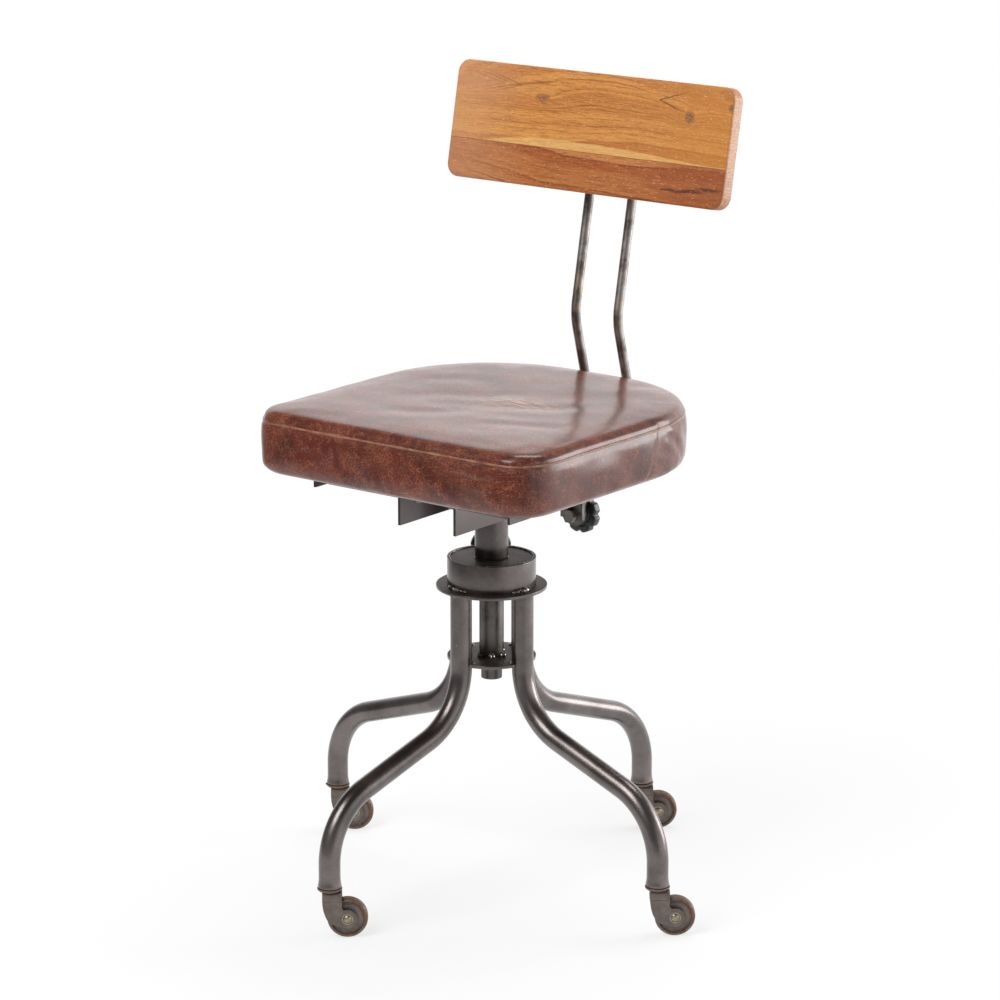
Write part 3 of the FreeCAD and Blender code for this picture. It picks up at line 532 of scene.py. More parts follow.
def seat_outline(inset, count):
    """Plan of the seat as evenly spaced points, starting at the middle of the front edge."""
    half, front, rear = SEAT_HALF - inset, SEAT_FRONT + inset, SEAT_REAR - inset
    near, far = max(FRONT_CORNER - inset, 12.0), REAR_CORNER - inset
    corners = [((half, front), near, -90), ((half, rear), far, 0),
               ((-half, rear), far, 90), ((-half, front), near, 180)]
    middle = Vector((0.0, front))
    path = [middle] + rounded(corners, 24) + [middle]
    runs = [(b - a).length for a, b in zip(path, path[1:])]
    step = sum(runs) / count
    points, i, gone = [], 0, 0.0
    for k in range(count):
        while gone + runs[i] < k * step:
            gone += runs[i]
            i += 1
        points.append(path[i].lerp(path[i + 1], (k * step - gone) / runs[i]))
    return points


def leather(name, piping=False):
    """Old oxblood leather: blotched, with a web of fine light cracks, rubbed patches and pores."""
    hide = look("leather")
    f = Finish(name, Coat_Weight=0.75, Coat_Roughness=0.2, Specular_IOR_Level=0.2, Coat_IOR=1.5)
    height = f.axis("Z")
    small = f.noise(95.0, 4.0, 0.6)
    f.base = f.blend(f.band(f.noise(28.0, 5.0, 0.62), 0.34, 0.60), hide.shade, hide.hide)
    f.coat(f.band(small, 0.45, 0.72, 0.0, 0.6), hide.warm)
    web = f.band(f.cracks(250.0, f.shifted(0.004, 230.0)), 0.045, 0.008)
    web = f.times(web, f.band(small, 0.40, 0.60, 0.1, 0.58))
    fine = f.band(f.cracks(430.0, f.shifted(0.003, 300.0)), 0.10, 0.02)
    fine = f.times(fine, f.times(f.band(f.noise(24.0, 4.0, 0.65), 0.40, 0.60), 0.35))
    pulled = f.fibres(38.0, 38.0, 150.0, 2.0, 0.5, f.shifted(0.02, 20.0))
    scratch = f.times(f.band(f.gap(pulled, 0.5), 0.007, 0.001),
                      f.band(f.noise(14.0, 3.0), 0.50, 0.62, 0.0, 0.7))
    crackle = f.more(f.more(web, fine), scratch)
    f.coat(crackle, hide.crackle)
    if piping:
        worn = f.band(f.noise(70.0, 5.0, 0.7), 0.30, 0.70, 0.12, 0.6)
    else:
        rubbed = f.times(f.band(f.noise(60.0, 6.0, 0.75), 0.58, 0.78), 0.25)
        seam = f.times(f.band(f.gap(height, SEAM_HEIGHT * MM), 0.003, 0.0004),
                       f.band(f.noise(30.0, 4.0), 0.42, 0.66, 0.0, 0.45))
        # Pale band along the bottom edge, where the seat curves under: painted reflection of the
        # floor, in the worn colour.
        floor_reflection = f.band(height, 0.4410, 0.4370, 0.0, 0.35)
        strokes = f.band(f.fibres(60.0, 260.0, 60.0, 4.0, 0.7), 0.44, 0.60, 0.0, 0.75)
        sat_on = f.times(f.spot((25, 12, SEAT_TOP), (46, 24, 60)), strokes)
        worn = f.more(f.more(rubbed, seam), f.more(floor_reflection, sat_on))
    # The worn colour marks rubbed places and the seam; along the seat's bottom edge it is a painted
    # reflection of the floor.
    f.coat(worn, hide.worn)
    pores = f.band(f.cracks(1100.0), 0.0, 0.2)
    skin_relief = f.bump(f.less(pores, f.times(crackle, 1.4)), 0.10, 0.3)
    waves = f.noise(34.0, 3.0, 0.5)
    return f.done(f.band(small, 0.25, 0.75, 0.42, 0.55), f.bump(waves, 0.8, 0.3, skin_relief),
                  Coat_Normal=f.bump(f.times_plus(small, 0.15, waves), 0.55, 0.3))


def settle(piece):
    """Applies the modifiers of a piece."""
    depsgraph = bpy.context.evaluated_depsgraph_get()
    piece.data = bpy.data.meshes.new_from_object(piece.evaluated_get(depsgraph))
    piece.modifiers.clear()


def inflate(pad, limit):
    """Cloth under slight pressure, held below and at the seam; no point moves past the limit."""
    held = pad.vertex_groups.new(name="held")
    start = [v.co.copy() for v in pad.data.vertices]
    normals = [v.normal.copy() for v in pad.data.vertices]
    for v in pad.data.vertices:
        sewn = abs(v.co.z / MM - SEAM_HEIGHT) < 3.5 and abs(v.normal.z) < 0.8
        if sewn or v.co.z < (SEAT_BOTTOM + 9.0) * MM:
            held.add([v.index], 1.0, "REPLACE")
    cloth = pad.modifiers.new("padding", "CLOTH").settings
    cloth.use_pressure = True
    cloth.uniform_pressure_force = 4.0
    cloth.vertex_group_mass = held.name
    cloth.effector_weights.gravity = 0.0
    scene = bpy.context.scene
    for number in range(1, SWELL_FRAMES + 1):
        scene.frame_set(number)
    settle(pad)
    for v, before, outward in zip(pad.data.vertices, start, normals):
        move = v.co - before
        most = limit if move.dot(outward) > 0 else limit * 0.3
        if move.length > most:
            v.co = before + move.normalized() * most
    scene.frame_set(1)
    pad.vertex_groups.clear()


def folds(*rows):
    """Creases, from the way of each across its side, share of the depth, and width."""
    return [([Vector(p) for p in way], share, width) for way, share, width in rows]


TOP_CREASES = folds(    # seen from above: x, y
    ([(-62, -96), (-34, -82), (-8, -62), (4, -40)], 0.9, 13.0),
    ([(-92, -34), (-56, -2), (-16, 20), (6, 50)], 0.8, 14.0),
    ([(40, -84), (72, -70), (102, -60), (128, -54)], 0.8, 11.0),
    ([(2, -16), (34, -6), (70, 14), (96, 44)], 0.9, 13.0),
    ([(-122, 30), (-88, 58), (-50, 72)], 0.6, 14.0))
SIDE_CREASES = folds(   # seen from the side: y, z
    ([(56, 484), (76, 470), (94, 452)], 1.3, 5.0),
    ([(92, 486), (106, 470), (120, 456)], 1.0, 6.0),
    ([(36, 455), (54, 449), (78, 447)], 0.8, 4.0))
FRONT_CREASES = folds(  # seen from the front: x, z
    ([(60, 482), (88, 473), (118, 470), (146, 475)], 1.3, 3.4),
    ([(-26, 472), (2, 479), (24, 487)], 1.0, 3.2),
    ([(-2, 473), (18, 478), (38, 482)], 0.7, 3.0),
    ([(-128, 462), (-96, 466), (-70, 474)], 0.5, 4.0))


def along_run(point, run):
    """Distance from a point to a run of points, and how far along it is, from 0 to 1."""
    best = (1e9, 0.0)
    for k, (a, b) in enumerate(zip(run, run[1:])):
        line = b - a
        t = max(0.0, min(1.0, (point - a).dot(line) / line.length_squared))
        away = (point - a - line * t).length
        best = min(best, (away, (k + t) / (len(run) - 1)))
    return best


def crease(rows, depth, *point):
    """How far the creases move a point: grooves with a low ridge beside, faded at both ends."""
    move = 0.0
    for run, share, width in rows:
        away, along = along_run(Vector(point), run)
        if away < 4 * width:
            fade = sin(pi * max(0.0, min(1.0, along))) ** 0.5
            ridge = 0.55 * exp(-((away - 1.7 * width) / width) ** 2)
            move += fade * share * depth * (ridge - exp(-(away / width) ** 2))
    return move


def shape_leather(mesh, depth):
    """Creases, seam groove, side joins, slack and gathers in the leather."""
    normals = [v.normal.copy() for v in mesh.vertices]
    for v, normal in zip(mesh.vertices, normals):
        x, y, z = v.co / MM
        if z < SEAT_BOTTOM + 1.5:
            continue
        up = max(0.0, normal.z)
        sideways = 1.0 - abs(normal.z)
        move = -1.3 * exp(-((z - SEAM_HEIGHT) / 2.6) ** 2) * sideways ** 0.5
        if up > 0.3:
            slack = 0.6 * noise.noise(Vector((x / 55, y / 40, 3.0)))
            hollow = 2.2 * exp(-((x - 4) / 95) ** 2 - ((y - 6) / 85) ** 2)
            move += up * (crease(TOP_CREASES, depth, x, y) + slack - hollow)
        if sideways > 0.4:
            move += 0.8 * noise.noise(Vector((x / 34, y / 34, z / 26)))
            if abs(x) > 150:
                move += sideways * crease(SIDE_CREASES, depth, y, z)
            if y < -130:
                move += sideways * crease(FRONT_CREASES, depth, x, z)
            if abs(x) > 170:
                join = y - JOIN_Y - 0.45 * (z - SEAT_BOTTOM)
                move += 0.8 * (1 / (1 + exp(join / 0.9)) - 0.5)
                move -= 0.9 * exp(-(join / 1.6) ** 2)
            wander = 2.0 * noise.noise(Vector((x / 40, y / 40, 0)))
            tuck = (z - SEAT_BOTTOM) / 16
            move += 0.45 * sin((x + y) / 7.5 + wander) * exp(-tuck * tuck)
        v.co += normal * move * MM
    mesh.update()


def on_surface(tree, height, count, lift):
    """Points where a level line meets the padding's side, pushed out by lift."""
    line = []
    for x, y in seat_outline(CORE_INSET, count):
        outer = Vector((x, y - CORE_Y, 0.0)).normalized()
        hit = tree.ray_cast(mm(x, y, height) + outer * 0.2, -outer, 0.3)[0]
        line.append(hit + outer * lift)
    return line


class CHAIR_OT_seat(bpy.types.Operator):
    """Padded leather seat with a piped seam and old creases"""
    bl_idname = "chair.seat"
    bl_label = "Leather Seat"

    def execute(self, context):
        hide = look("leather")
        bm = bmesh.new()
        skin(bm, [[mm(x, y, z) for x, y in seat_outline(inset, 160)] for inset, z in SEAT_LEVELS])
        mesh = closed_mesh("leather_seat", bm, leather("oxblood leather"))
        pad = bpy.data.objects.new("leather_seat", mesh)
        context.scene.collection.objects.link(pad)
        remesh = pad.modifiers.new("even cells", "REMESH")
        remesh.mode = "VOXEL"
        remesh.voxel_size = CELL * MM
        settle(pad)
        inflate(pad, hide.swell)
        smooth = pad.modifiers.new("even out", "CORRECTIVE_SMOOTH")
        smooth.iterations = 4
        smooth.use_only_smooth = True
        finer = pad.modifiers.new("finer", "SUBSURF")
        finer.levels = finer.render_levels = 1
        settle(pad)
        shape_leather(pad.data, hide.crease_depth / MM)
        pad.data.shade_smooth()
        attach(pad, "seat")
        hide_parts("seat_cushion")
        tree = BVHTree.FromObject(pad, context.evaluated_depsgraph_get())
        radius = hide.piping_radius
        line = on_surface(tree, SEAM_HEIGHT, 360, radius * 0.1)
        bm = bmesh.new()
        sweep(bm, line, [radius] * len(line), UP, sides=10, closed=True)
        make("seat_piping", bm, "seat", leather("piping leather", piping=True),
             sharp=180.0)
        return {"FINISHED"}


# --- Backrest ---------------------------------------------------------------------------------
LEAN = radians(11.4)
WAIST = (0.0, 174.5, 556.8)
BOARD_RISE = 185.0
BOARD = (Matrix.Translation(mm(*WAIST)) @ Matrix.Rotation(-LEAN, 4, "X")
         @ Matrix.Translation(mm(0, 0, BOARD_RISE)))
BOARD_HALF = 172.0
BOARD_HALF_HEIGHT = 60.5
BOARD_MIDDLE = -46.5
BOARD_HALF_THICKNESS = 8.5
BOARD_CORNER = 14.0
JOINT_HEIGHT = -20.0
ROD_RADIUS = 4.8
ROD_OFFSET = 26.6
ROD_ABOVE_WAIST = 226.0
ROD_HEEL = (219.8, 392.0)
ROD_END = (143.0, 392.0)
ROD_BENDS = (60.0, 25.0)

# Each spot on the planks has a centre, a size, and how strongly the grain goes round it or shows.
UPPER_HILLS = [
    ((-60, -40, 29), (34, 60, 13), 0.009), ((122, -40, 27), (17, 60, 10), 0.012),
    ((-215, -40, 38), (112, 60, 17), 0.032), ((222, -40, 44), (118, 60, 18), 0.034),
    ((50, -40, 4), (95, 60, 40), -0.007)]
LOWER_HILLS = [((10, -40, -36), (115, 60, 46), 0.017), ((150, -40, -62), (50, 60, 14), 0.010)]
UPPER_KNOTS = [((-60, -40, 29), (8.5, 60, 5.5), 0.7), ((122, -40, 27), (5.6, 60, 6.2), 0.95),
               ((171, -40, 40), (4.5, 60, 4.0), 0.9)]
LOWER_STREAKS = [((112, -40, -46.5), (22, 60, 1.6)), ((134, -40, -45.5), (18, 60, 2.2)),
                 ((156, -40, -41.5), (17, 60, 2.6))]
UPPER_WEDGES = [
    # tip, slope of the two sides, thickness and strength of a line that closes to a point
    ((-86, 40), -0.24, 1.3, 0.4), ((-97, 40), -0.23, 0.9, 0.3), ((-110, 40), -0.22, 0.8, 0.25),
    ((84, 41), 0.33, 1.1, 0.95)]


def wedge_line(f, x, z, tip, slope, thickness):
    """Dark line like an arrowhead lying on its side, as where a branch parted the grain."""
    run = f.times(f.less(x, tip[0] * MM), slope)
    rise = f.gap(z, tip[1] * MM)
    wobble = f.times(f.less(f.noise(60.0, 2.0), 0.5), 0.0035)
    off = f.math("ABSOLUTE", f.plus(f.less(run, rise), wobble))
    line = f.band(off, thickness * MM, thickness * 0.2 * MM)
    return f.times(line, f.band(run, 0.013, 0.004))


def upper_marks(f, x, z, fibre):
    """Warm and golden ends, parted grain, knots and the pale streak of the upper plank."""
    wood = look("wood")
    f.coat(f.band(x, -0.06, -0.17, 0.0, 0.5), "c8946a")
    f.coat(f.times(f.spot((-142, -40, 38), (50, 60, 15)), 0.5), "b9815f")
    f.coat(f.band(x, 0.04, 0.16, 0.0, 0.5), "b8741d")
    for tip, slope, thickness, strong in UPPER_WEDGES:
        f.coat(f.times(wedge_line(f, x, z, tip, slope, thickness), strong), "6e3a1c")
    for centre, size, strong in UPPER_KNOTS:
        near = f.spot(centre, size, f.shifted(0.004, 220.0))
        f.coat(f.band(f.gap(near, 0.42), 0.16, 0.02, 0.0, 0.55 * strong), "7a4222")
        checks = f.band(f.cracks(330.0, f.shifted(0.003, 300.0)), 0.10, 0.02)
        speck = f.blend(f.noise(420.0, 3.0), wood.knot, "9c6c48")
        f.coat(f.band(near, 0.35, 0.7, 0.0, strong), f.blend(checks, speck, "4a2716"))
    depth = f.times(f.band(x, -0.150, -0.060), f.band(x, -0.01, 0.205, 0.0094, 0.0))
    depth = f.plus(depth, f.times(f.less(f.noise(22.0, 4.0), 0.5), 0.0035))
    sap = f.band(f.less(depth, f.less(z, JOINT_HEIGHT * MM)), -0.0008, 0.0012)
    f.coat(f.times(sap, 0.85), f.blend(f.band(fibre, 0.4, 0.6), "c8944f", wood.sapwood))


def lower_marks(f, x):
    """Paler and redder ends, and the dark streak of the lower plank."""
    f.coat(f.band(x, -0.05, -0.17, 0.0, 0.6), "b37e5c")
    f.coat(f.band(x, 0.03, 0.15, 0.0, 0.6), "893e0e")
    for centre, size in LOWER_STREAKS:
        smear = f.spot(centre, size, f.shifted(0.006, 40.0))
        f.coat(f.band(smear, 0.2, 0.8, 0.0, 0.8), "4a1d10")


def plank_finish(name, upper):
    """Oiled teak: lines that follow a field bent round knots, fine pores, pale sawn ends."""
    wood = look("wood")
    f = Finish(name, Coat_Weight=0.22, Coat_Roughness=0.3, Specular_IOR_Level=0.35)
    x, z = f.axis("X"), f.axis("Z")
    field = f.times_plus(f.fibres(7.0, 3.0, 22.0, 3.0, 0.5), 0.022, z)
    field = f.times_plus(x, -0.02 if upper else 0.05, field)
    for centre, size, rise in UPPER_HILLS if upper else LOWER_HILLS:
        field = f.times_plus(f.spot(centre, size), rise, field)
    rings = f.lines(field, 420.0 if upper else 330.0, 5.0, 0.62)
    strength = f.fibres(16.0, 20.0, 60.0, 3.0, 0.6)
    fibre = f.fibres(70.0, 300.0, 1300.0, 5.0, 0.75)
    pores = f.band(f.fibres(150.0, 600.0, 2400.0, 2.0, 0.5), 0.60, 0.70)
    flecks = f.band(f.fibres(300.0, 700.0, 1500.0, 2.0, 0.5), 0.64, 0.71)
    middle, dark, pale = ((wood.gold, wood.gold_dark, wood.gold_pale) if upper
                          else (wood.red, wood.red_dark, wood.red_pale))
    f.base = f.blend(f.band(f.lines(field, 75.0, 2.0, 0.5), 0.35, 0.66), middle, pale)
    f.coat(f.times(f.band(rings, 0.48, 0.30),
                   f.band(strength, 0.3, 0.6, 0.25, 0.85 if upper else 1.0)), dark)
    f.coat(f.band(rings, 0.60, 0.78, 0.0, 0.5), pale)
    f.coat(f.band(fibre, 0.54, 0.36, 0.0, 0.62), dark)
    f.coat(f.band(fibre, 0.54, 0.68, 0.0, 0.5), pale)
    if upper:
        upper_marks(f, x, z, fibre)
    else:
        lower_marks(f, x)
    f.coat(f.times(pores, 0.5), "5e321a")
    f.coat(f.times(flecks, 0.55), "e6ba86")
    f.coat(f.band(f.gap(z, JOINT_HEIGHT * MM), 0.0007, 0.0001, 0.0, 0.6), "5a2d14")
    end = f.band(f.math("ABSOLUTE", f.axis("X", f.facing)), 0.55, 0.9, 0.0, 0.8)
    sawn = f.band(f.fibres(300.0, 160.0, 900.0, 3.0, 0.6), 0.35, 0.65)
    f.coat(end, f.blend(sawn, "ae7a58", wood.end_grain))
    relief = f.times_plus(rings, 0.6, f.less(f.times(fibre, 0.6), pores))
    return f.done(f.band(fibre, 0.3, 0.7, 0.38, 0.52), f.bump(relief, 0.12, 0.35))


def board_outline(inset):
    half, high, radius = BOARD_HALF - inset, BOARD_HALF_HEIGHT - inset, BOARD_CORNER - inset
    return rounded([((half, -high), radius, -90), ((half, high), radius, 0),
                    ((-half, high), radius, 90), ((-half, -high), radius, 180)], 12)


class CHAIR_OT_back_board(bpy.types.Operator):
    """Backrest board, glued up from a golden and a reddish plank"""
    bl_idname = "chair.back_board"
    bl_label = "Backrest Board"

    def execute(self, context):
        edge = look("wood").edge_radius / MM
        front = arc((edge, BOARD_HALF_THICKNESS - edge), edge, 90, 180, 6)
        profile = [(inset, y) for inset, y in front] + [(inset, -y) for inset, y in front[::-1]]
        for name, slot, upper in (("upper_plank", "golden_wood", True),
                                  ("lower_plank", "red_wood", False)):
            bm = bmesh.new()
            skin(bm, [[mm(px, BOARD_MIDDLE + y, pz) for px, pz in board_outline(inset)]
                      for inset, y in profile])
            whole = bm.verts[:] + bm.edges[:] + bm.faces[:]
            cut = bmesh.ops.bisect_plane(bm, geom=whole, plane_co=mm(0, 0, JOINT_HEIGHT),
                                         plane_no=UP, clear_inner=upper, clear_outer=not upper)
            rim = [e for e in cut["geom_cut"] if isinstance(e, bmesh.types.BMEdge)]
            bmesh.ops.holes_fill(bm, edges=rim, sides=0)
            make(name, bm, "backrest", plank_finish(slot.replace("_", " "), upper),
                 ("board_" + name,), BOARD)
        return {"FINISHED"}


class CHAIR_OT_back_rods(bpy.types.Operator):
    """Twin bent rods that carry the backrest"""
    bl_idname = "chair.back_rods"
    bl_label = "Backrest Rods"

    def execute(self, context):
        finish = bare_steel("worn rod steel", "a19b98", "6b6562", flecks=0.03)
        lean = Vector((0, sin(LEAN), cos(LEAN)))
        for hand, node in ((-1, "back_rod_left"), (1, "back_rod_right")):
            x = ROD_OFFSET * hand
            waist = mm(x, WAIST[1], WAIST[2])
            line = bent_line([waist + lean * ROD_ABOVE_WAIST * MM, waist, mm(x, *ROD_HEEL),
                              mm(x, *ROD_END)], [radius * MM for radius in ROD_BENDS])
            bm = bmesh.new()
            sweep(bm, line, [ROD_RADIUS * MM] * len(line), Vector((1, 0, 0)), sides=28)
            make(node + "_bent", bm, "backrest", finish, (node,))
        return {"FINISHED"}


# --- Base -------------------------------------------------------------------------------------
LEG_TOP = 30.75
LEG_FOOT = 160.5
LEG_RADIUS = 10.75
LEG_BEND = 70.0
UPPER_BEND_HEIGHT = 185.0
LOWER_BEND_HEIGHT = 124.0
FLARE_TOP = 61.5
FLANGE_BOTTOM = 311.0
FLANGE_TOP = 314.0
SPREADER_TOP = 240.0
COLUMN_RADIUS = 12.3
DRUM_RADIUS = 44.6
COVER_TOP = 341.5

# Height and radius of the foot, down its flare and back up inside.
FOOT_FLARE = [(59.5, 10.76), (57, 10.95), (54.5, 11.35), (53, 11.62), (52.2, 11.7), (51.4, 11.62),
              (50.8, 11.3), (50.5, 10.8), (50.5, 9.0), (53.5, 8.75)]

TURNED_PIECES = [
    # name, body, finish, slot, node, closed profile of (radius, height)
    ("flange_disc", "base", "frame", "black_steel", "top_flange",
     [(12.3, FLANGE_BOTTOM), (55.8, FLANGE_BOTTOM), (55.8, FLANGE_TOP), (12.3, FLANGE_TOP)]),
    ("spreader_disc", "base", "frame", "black_steel", "spreader_plate",
     [(11.1, 237.0), (44.8, 237.0), (44.8, SPREADER_TOP), (11.1, SPREADER_TOP)]),
    ("column_tube", "base", "polished", "bright_steel", "centre_column",
     [(10.6, SPREADER_TOP), (COLUMN_RADIUS, SPREADER_TOP), (COLUMN_RADIUS, 318.0), (10.6, 318.0)]),
    ("drum_shell", "base", "frame", "black_steel", "housing_drum",
     [(41.6, FLANGE_TOP), (DRUM_RADIUS, FLANGE_TOP), (DRUM_RADIUS, 342.5), (41.6, 342.5)]),
    ("drum_cover", "base", "cover", "black_steel", "housing_cover",
     [(17.05, 338.5), (41.5, 338.5), (41.5, COVER_TOP), (17.05, COVER_TOP)]),
    ("spindle_bar", "spindle", "polished", "bright_steel", "spindle",
     [(0.0, 216.0), (10.5, 216.0), (10.5, 399.0), (0.0, 399.0)]),
    ("post_tube", "seat", "post", "black_steel", "seat_post",
     [(13.85, 342.3), (16.75, 342.3), (16.75, 418.0), (13.85, 418.0)]),
]

FLANGE_WELDS = ((-64, -34, 3.6), (-162, -124, 2.6), (20, 60, 2.4), (110, 150, 2.6))
COVER_WELDS = ((-150, -20), (0, 120), (140, 200))
COLUMN_TACKS = (-90, -35, 40, 130, 215)


class CHAIR_OT_legs(bpy.types.Operator):
    """Four bent tube legs with flared feet"""
    bl_idname = "chair.legs"
    bl_label = "Legs"

    def execute(self, context):
        finish = lacquered_steel("lacquered leg steel", rust_at_feet=True)
        for corner, (sx, sy) in CORNERS.items():
            ways = ((LEG_TOP, FLANGE_BOTTOM), (LEG_TOP, UPPER_BEND_HEIGHT),
                    (LEG_FOOT, LOWER_BEND_HEIGHT), (LEG_FOOT, FLARE_TOP))
            line = [mm(sx * out, sy * out, z) for out, z in ways]
            line = bent_line(line, [LEG_BEND * MM] * 2, 28)
            radii = [LEG_RADIUS * MM] * len(line) + [radius * MM for z, radius in FOOT_FLARE]
            line += [mm(sx * LEG_FOOT, sy * LEG_FOOT, z) for z, radius in FOOT_FLARE]
            bm = bmesh.new()
            sweep(bm, line, radii, Vector((-sx * sy, 1, 0)).normalized(), sides=48, level=3)
            node = "leg_" + corner
            make(node + "_tube", bm, "base", finish, (node,), BASE)
        return {"FINISHED"}


class CHAIR_OT_housing(bpy.types.Operator):
    """Drum, discs, column, spindle and post"""
    bl_idname = "chair.housing"
    bl_label = "Housing and Column"

    def execute(self, context):
        finishes = {
            "frame": lacquered_steel("lacquered plate steel"),
            "cover": lacquered_steel("dark cover steel", dark=0.12),
            "post": lacquered_steel("lacquered post steel", dark=0.14),
            "polished": bare_steel("polished column steel", "77726f"),
        }
        for name, body, finish, slot, node, profile in TURNED_PIECES:
            bm = bmesh.new()
            lathe(bm, profile)
            place = Matrix() if body == "seat" else BASE
            make(name, bm, body, finishes[finish], (node,), place)
        return {"FINISHED"}


def bead(bm, points, radius, seed, ragged=0.35):
    """Weld bead along the points: a lumpy round bar with tapered ends."""
    radii = []
    last = len(points) - 1
    for i, point in enumerate(points):
        taper = min(1.0, 0.35 + 2.6 * min(i, last - i) / last)
        lump = 1 + ragged * noise.noise(point * 300 + Vector((seed, 0, 0)))
        radii.append(radius * MM * taper * (lump + 0.12 * sin(i * 1.9)))
    sweep(bm, points, radii, UP, sides=10)


def bead_round(bm, radius, z, start, end, count, thickness, seed, ragged=0.35):
    """Weld bead about the column's axis, between two angles."""
    angles = [radians(start + (end - start) * k / (count - 1)) for k in range(count)]
    line = [polar(radius, a, z + 0.5 * noise.noise(Vector((5 * a, z, 1.0)))) for a in angles]
    bead(bm, line, thickness, seed, ragged)


def tack(bm, foot, radius, angle, height, size, seed):
    """Small blob of weld or rust, at a radius and an angle in degrees round a foot point."""
    place = foot @ Matrix.Translation(polar(radius, radians(angle), height))
    made = bmesh.ops.create_icosphere(bm, subdivisions=2, radius=size * MM, matrix=place)
    centre = place.translation
    for v in made["verts"]:
        swell = 1 + 0.3 * noise.noise(v.co * 700 + Vector((seed, 0, 0)))
        v.co = centre + (v.co - centre) * swell


class CHAIR_OT_welds(bpy.types.Operator):
    """Weld beads and tacks that join drum, discs, column and legs"""
    bl_idname = "chair.welds"
    bl_label = "Weld Beads"

    def execute(self, context):
        bm = bmesh.new()
        for seed, (start, end, size) in enumerate(FLANGE_WELDS):
            bead_round(bm, DRUM_RADIUS + 0.6, FLANGE_TOP + 0.6, start, end, 40, size, seed)
        for seed, (start, end) in enumerate(COVER_WELDS):
            bead_round(bm, 42.2, COVER_TOP + 0.4, start, end, 90, 0.9, seed + 10, 0.6)
        for seed, angle in enumerate(COLUMN_TACKS):
            tack(bm, Matrix(), COLUMN_RADIUS + 1.1, angle, SPREADER_TOP + 1.0, 3.5, seed)
        for sx, sy in CORNERS.values():
            leg = Matrix.Translation(mm(sx * LEG_TOP, sy * LEG_TOP, 0))
            for seed, turn in enumerate((-50, 50)):
                inward = math.degrees(math.atan2(-sy, -sx)) + turn
                tack(bm, leg, LEG_RADIUS + 0.4, inward, SPREADER_TOP - 1.0, 2.8,
                     seed + 5 * sx + 9 * sy)
            points = [leg @ polar(LEG_RADIUS + 0.3, a, FLANGE_BOTTOM - 0.4) for a in turns(40)[:28]]
            bead(bm, points, 1.2, sx + 3 * sy + 20)
        make("weld_beads", bm, "base", weld_metal("weld metal"), place=BASE,
             sharp=60.0)
        return {"FINISHED"}


# --- Casters ----------------------------------------------------------------------------------
TRAIL = 17.3
WHEEL_RADIUS = 20.0
CHEEK_INNER = 6.7
CHEEK_OUTER = 8.7
CROWN_BACK = -7.4
CROWN_FRONT = 12.0
CROWN_BOTTOM = 38.0
CROWN_TOP = 46.8
EYE_RADIUS = 9.6
HEEL = (0.5, 14.5)
WASHER = [(4.3, 47.2), (10.6, 47.2), (12.3, 48.9), (12.4, 50.3), (4.3, 50.3)]
# Radius and half width of the wheel: hub, dished face, groove and rounded tread.
WHEEL_SIDE = [(2.6, 6.2), (6.0, 6.2), (6.8, 4.6), (8.0, 4.0), (13.6, 4.2), (15.3, 3.7),
              (16.4, 4.5), (16.8, 6.1), (17.8, 6.2), (19.1, 5.5), (WHEEL_RADIUS, 3.7)]
RIVET_DOME = [(0.0, 10.75), (1.2, 10.7), (2.3, 10.35), (3.2, 9.8), (3.9, 9.0), (4.1, 8.7),
              (4.1, 8.4), (0.0, 8.4)]
RIVET_COLLAR = [(4.5, 8.6), (5.6, 8.6), (5.6, 8.95), (4.5, 8.95)]


def fork_mesh(material):
    """Pressed fork: folded crown and two comma-shaped cheeks with round eyes."""
    bm = bmesh.new()
    fold, inner_fold = 2.4, 0.9
    outside = arc((CHEEK_OUTER - fold, CROWN_TOP - fold), fold, 90, 0, 6)
    inside = arc((CHEEK_INNER - inner_fold, 44.2 - inner_fold), inner_fold, 90, 0, 4)
    half = outside + [(CHEEK_OUTER, CROWN_BOTTOM), (CHEEK_INNER, CROWN_BOTTOM)] + inside[::-1]
    outline = [(y, z) for y, z in half] + [(-y, z) for y, z in reversed(half)]
    prism(bm, [mm(CROWN_BACK, y, z) for y, z in outline], mm(CROWN_FRONT - CROWN_BACK, 0, 0))
    heel, back = Vector(HEEL), Vector((CROWN_BACK, CROWN_BOTTOM))
    belly = (heel + back) / 2 + Vector((-3.4, -3.2))
    cheek = [(CROWN_BACK, CROWN_BOTTOM), (CROWN_FRONT, CROWN_BOTTOM), (CROWN_FRONT, 31.5)]
    cheek += arc((TRAIL, WHEEL_RADIUS), EYE_RADIUS, 112, -112, 28)
    cheek += drawn(heel, belly, back, 12)[:-1]
    for y in (CHEEK_INNER, -CHEEK_OUTER):
        prism(bm, [mm(px, y, pz) for px, pz in cheek], mm(0, CHEEK_OUTER - CHEEK_INNER, 0))
    return closed_mesh("pressed_fork", bm, material)


def wheel_mesh(material):
    """Cast wheel: rounded tread, groove inside the rim, dished face and hub."""
    bm = bmesh.new()
    outline = WHEEL_SIDE + [(radius, -half) for radius, half in reversed(WHEEL_SIDE)]
    lathe(bm, outline, Matrix.Rotation(radians(-90), 4, "X"))
    return closed_mesh("cast_wheel", bm, material)


def rivet_mesh(material):
    """Domed rivet with a thin collar, at both ends of the axle."""
    bm = bmesh.new()
    for quarter in (-90, 90):
        place = Matrix.Rotation(radians(quarter), 4, "X")
        lathe(bm, RIVET_DOME, place, sides=40, ease=0)
        lathe(bm, RIVET_COLLAR, place, sides=40, ease=0.12)
    return closed_mesh("domed_rivet", bm, material, 40.0)


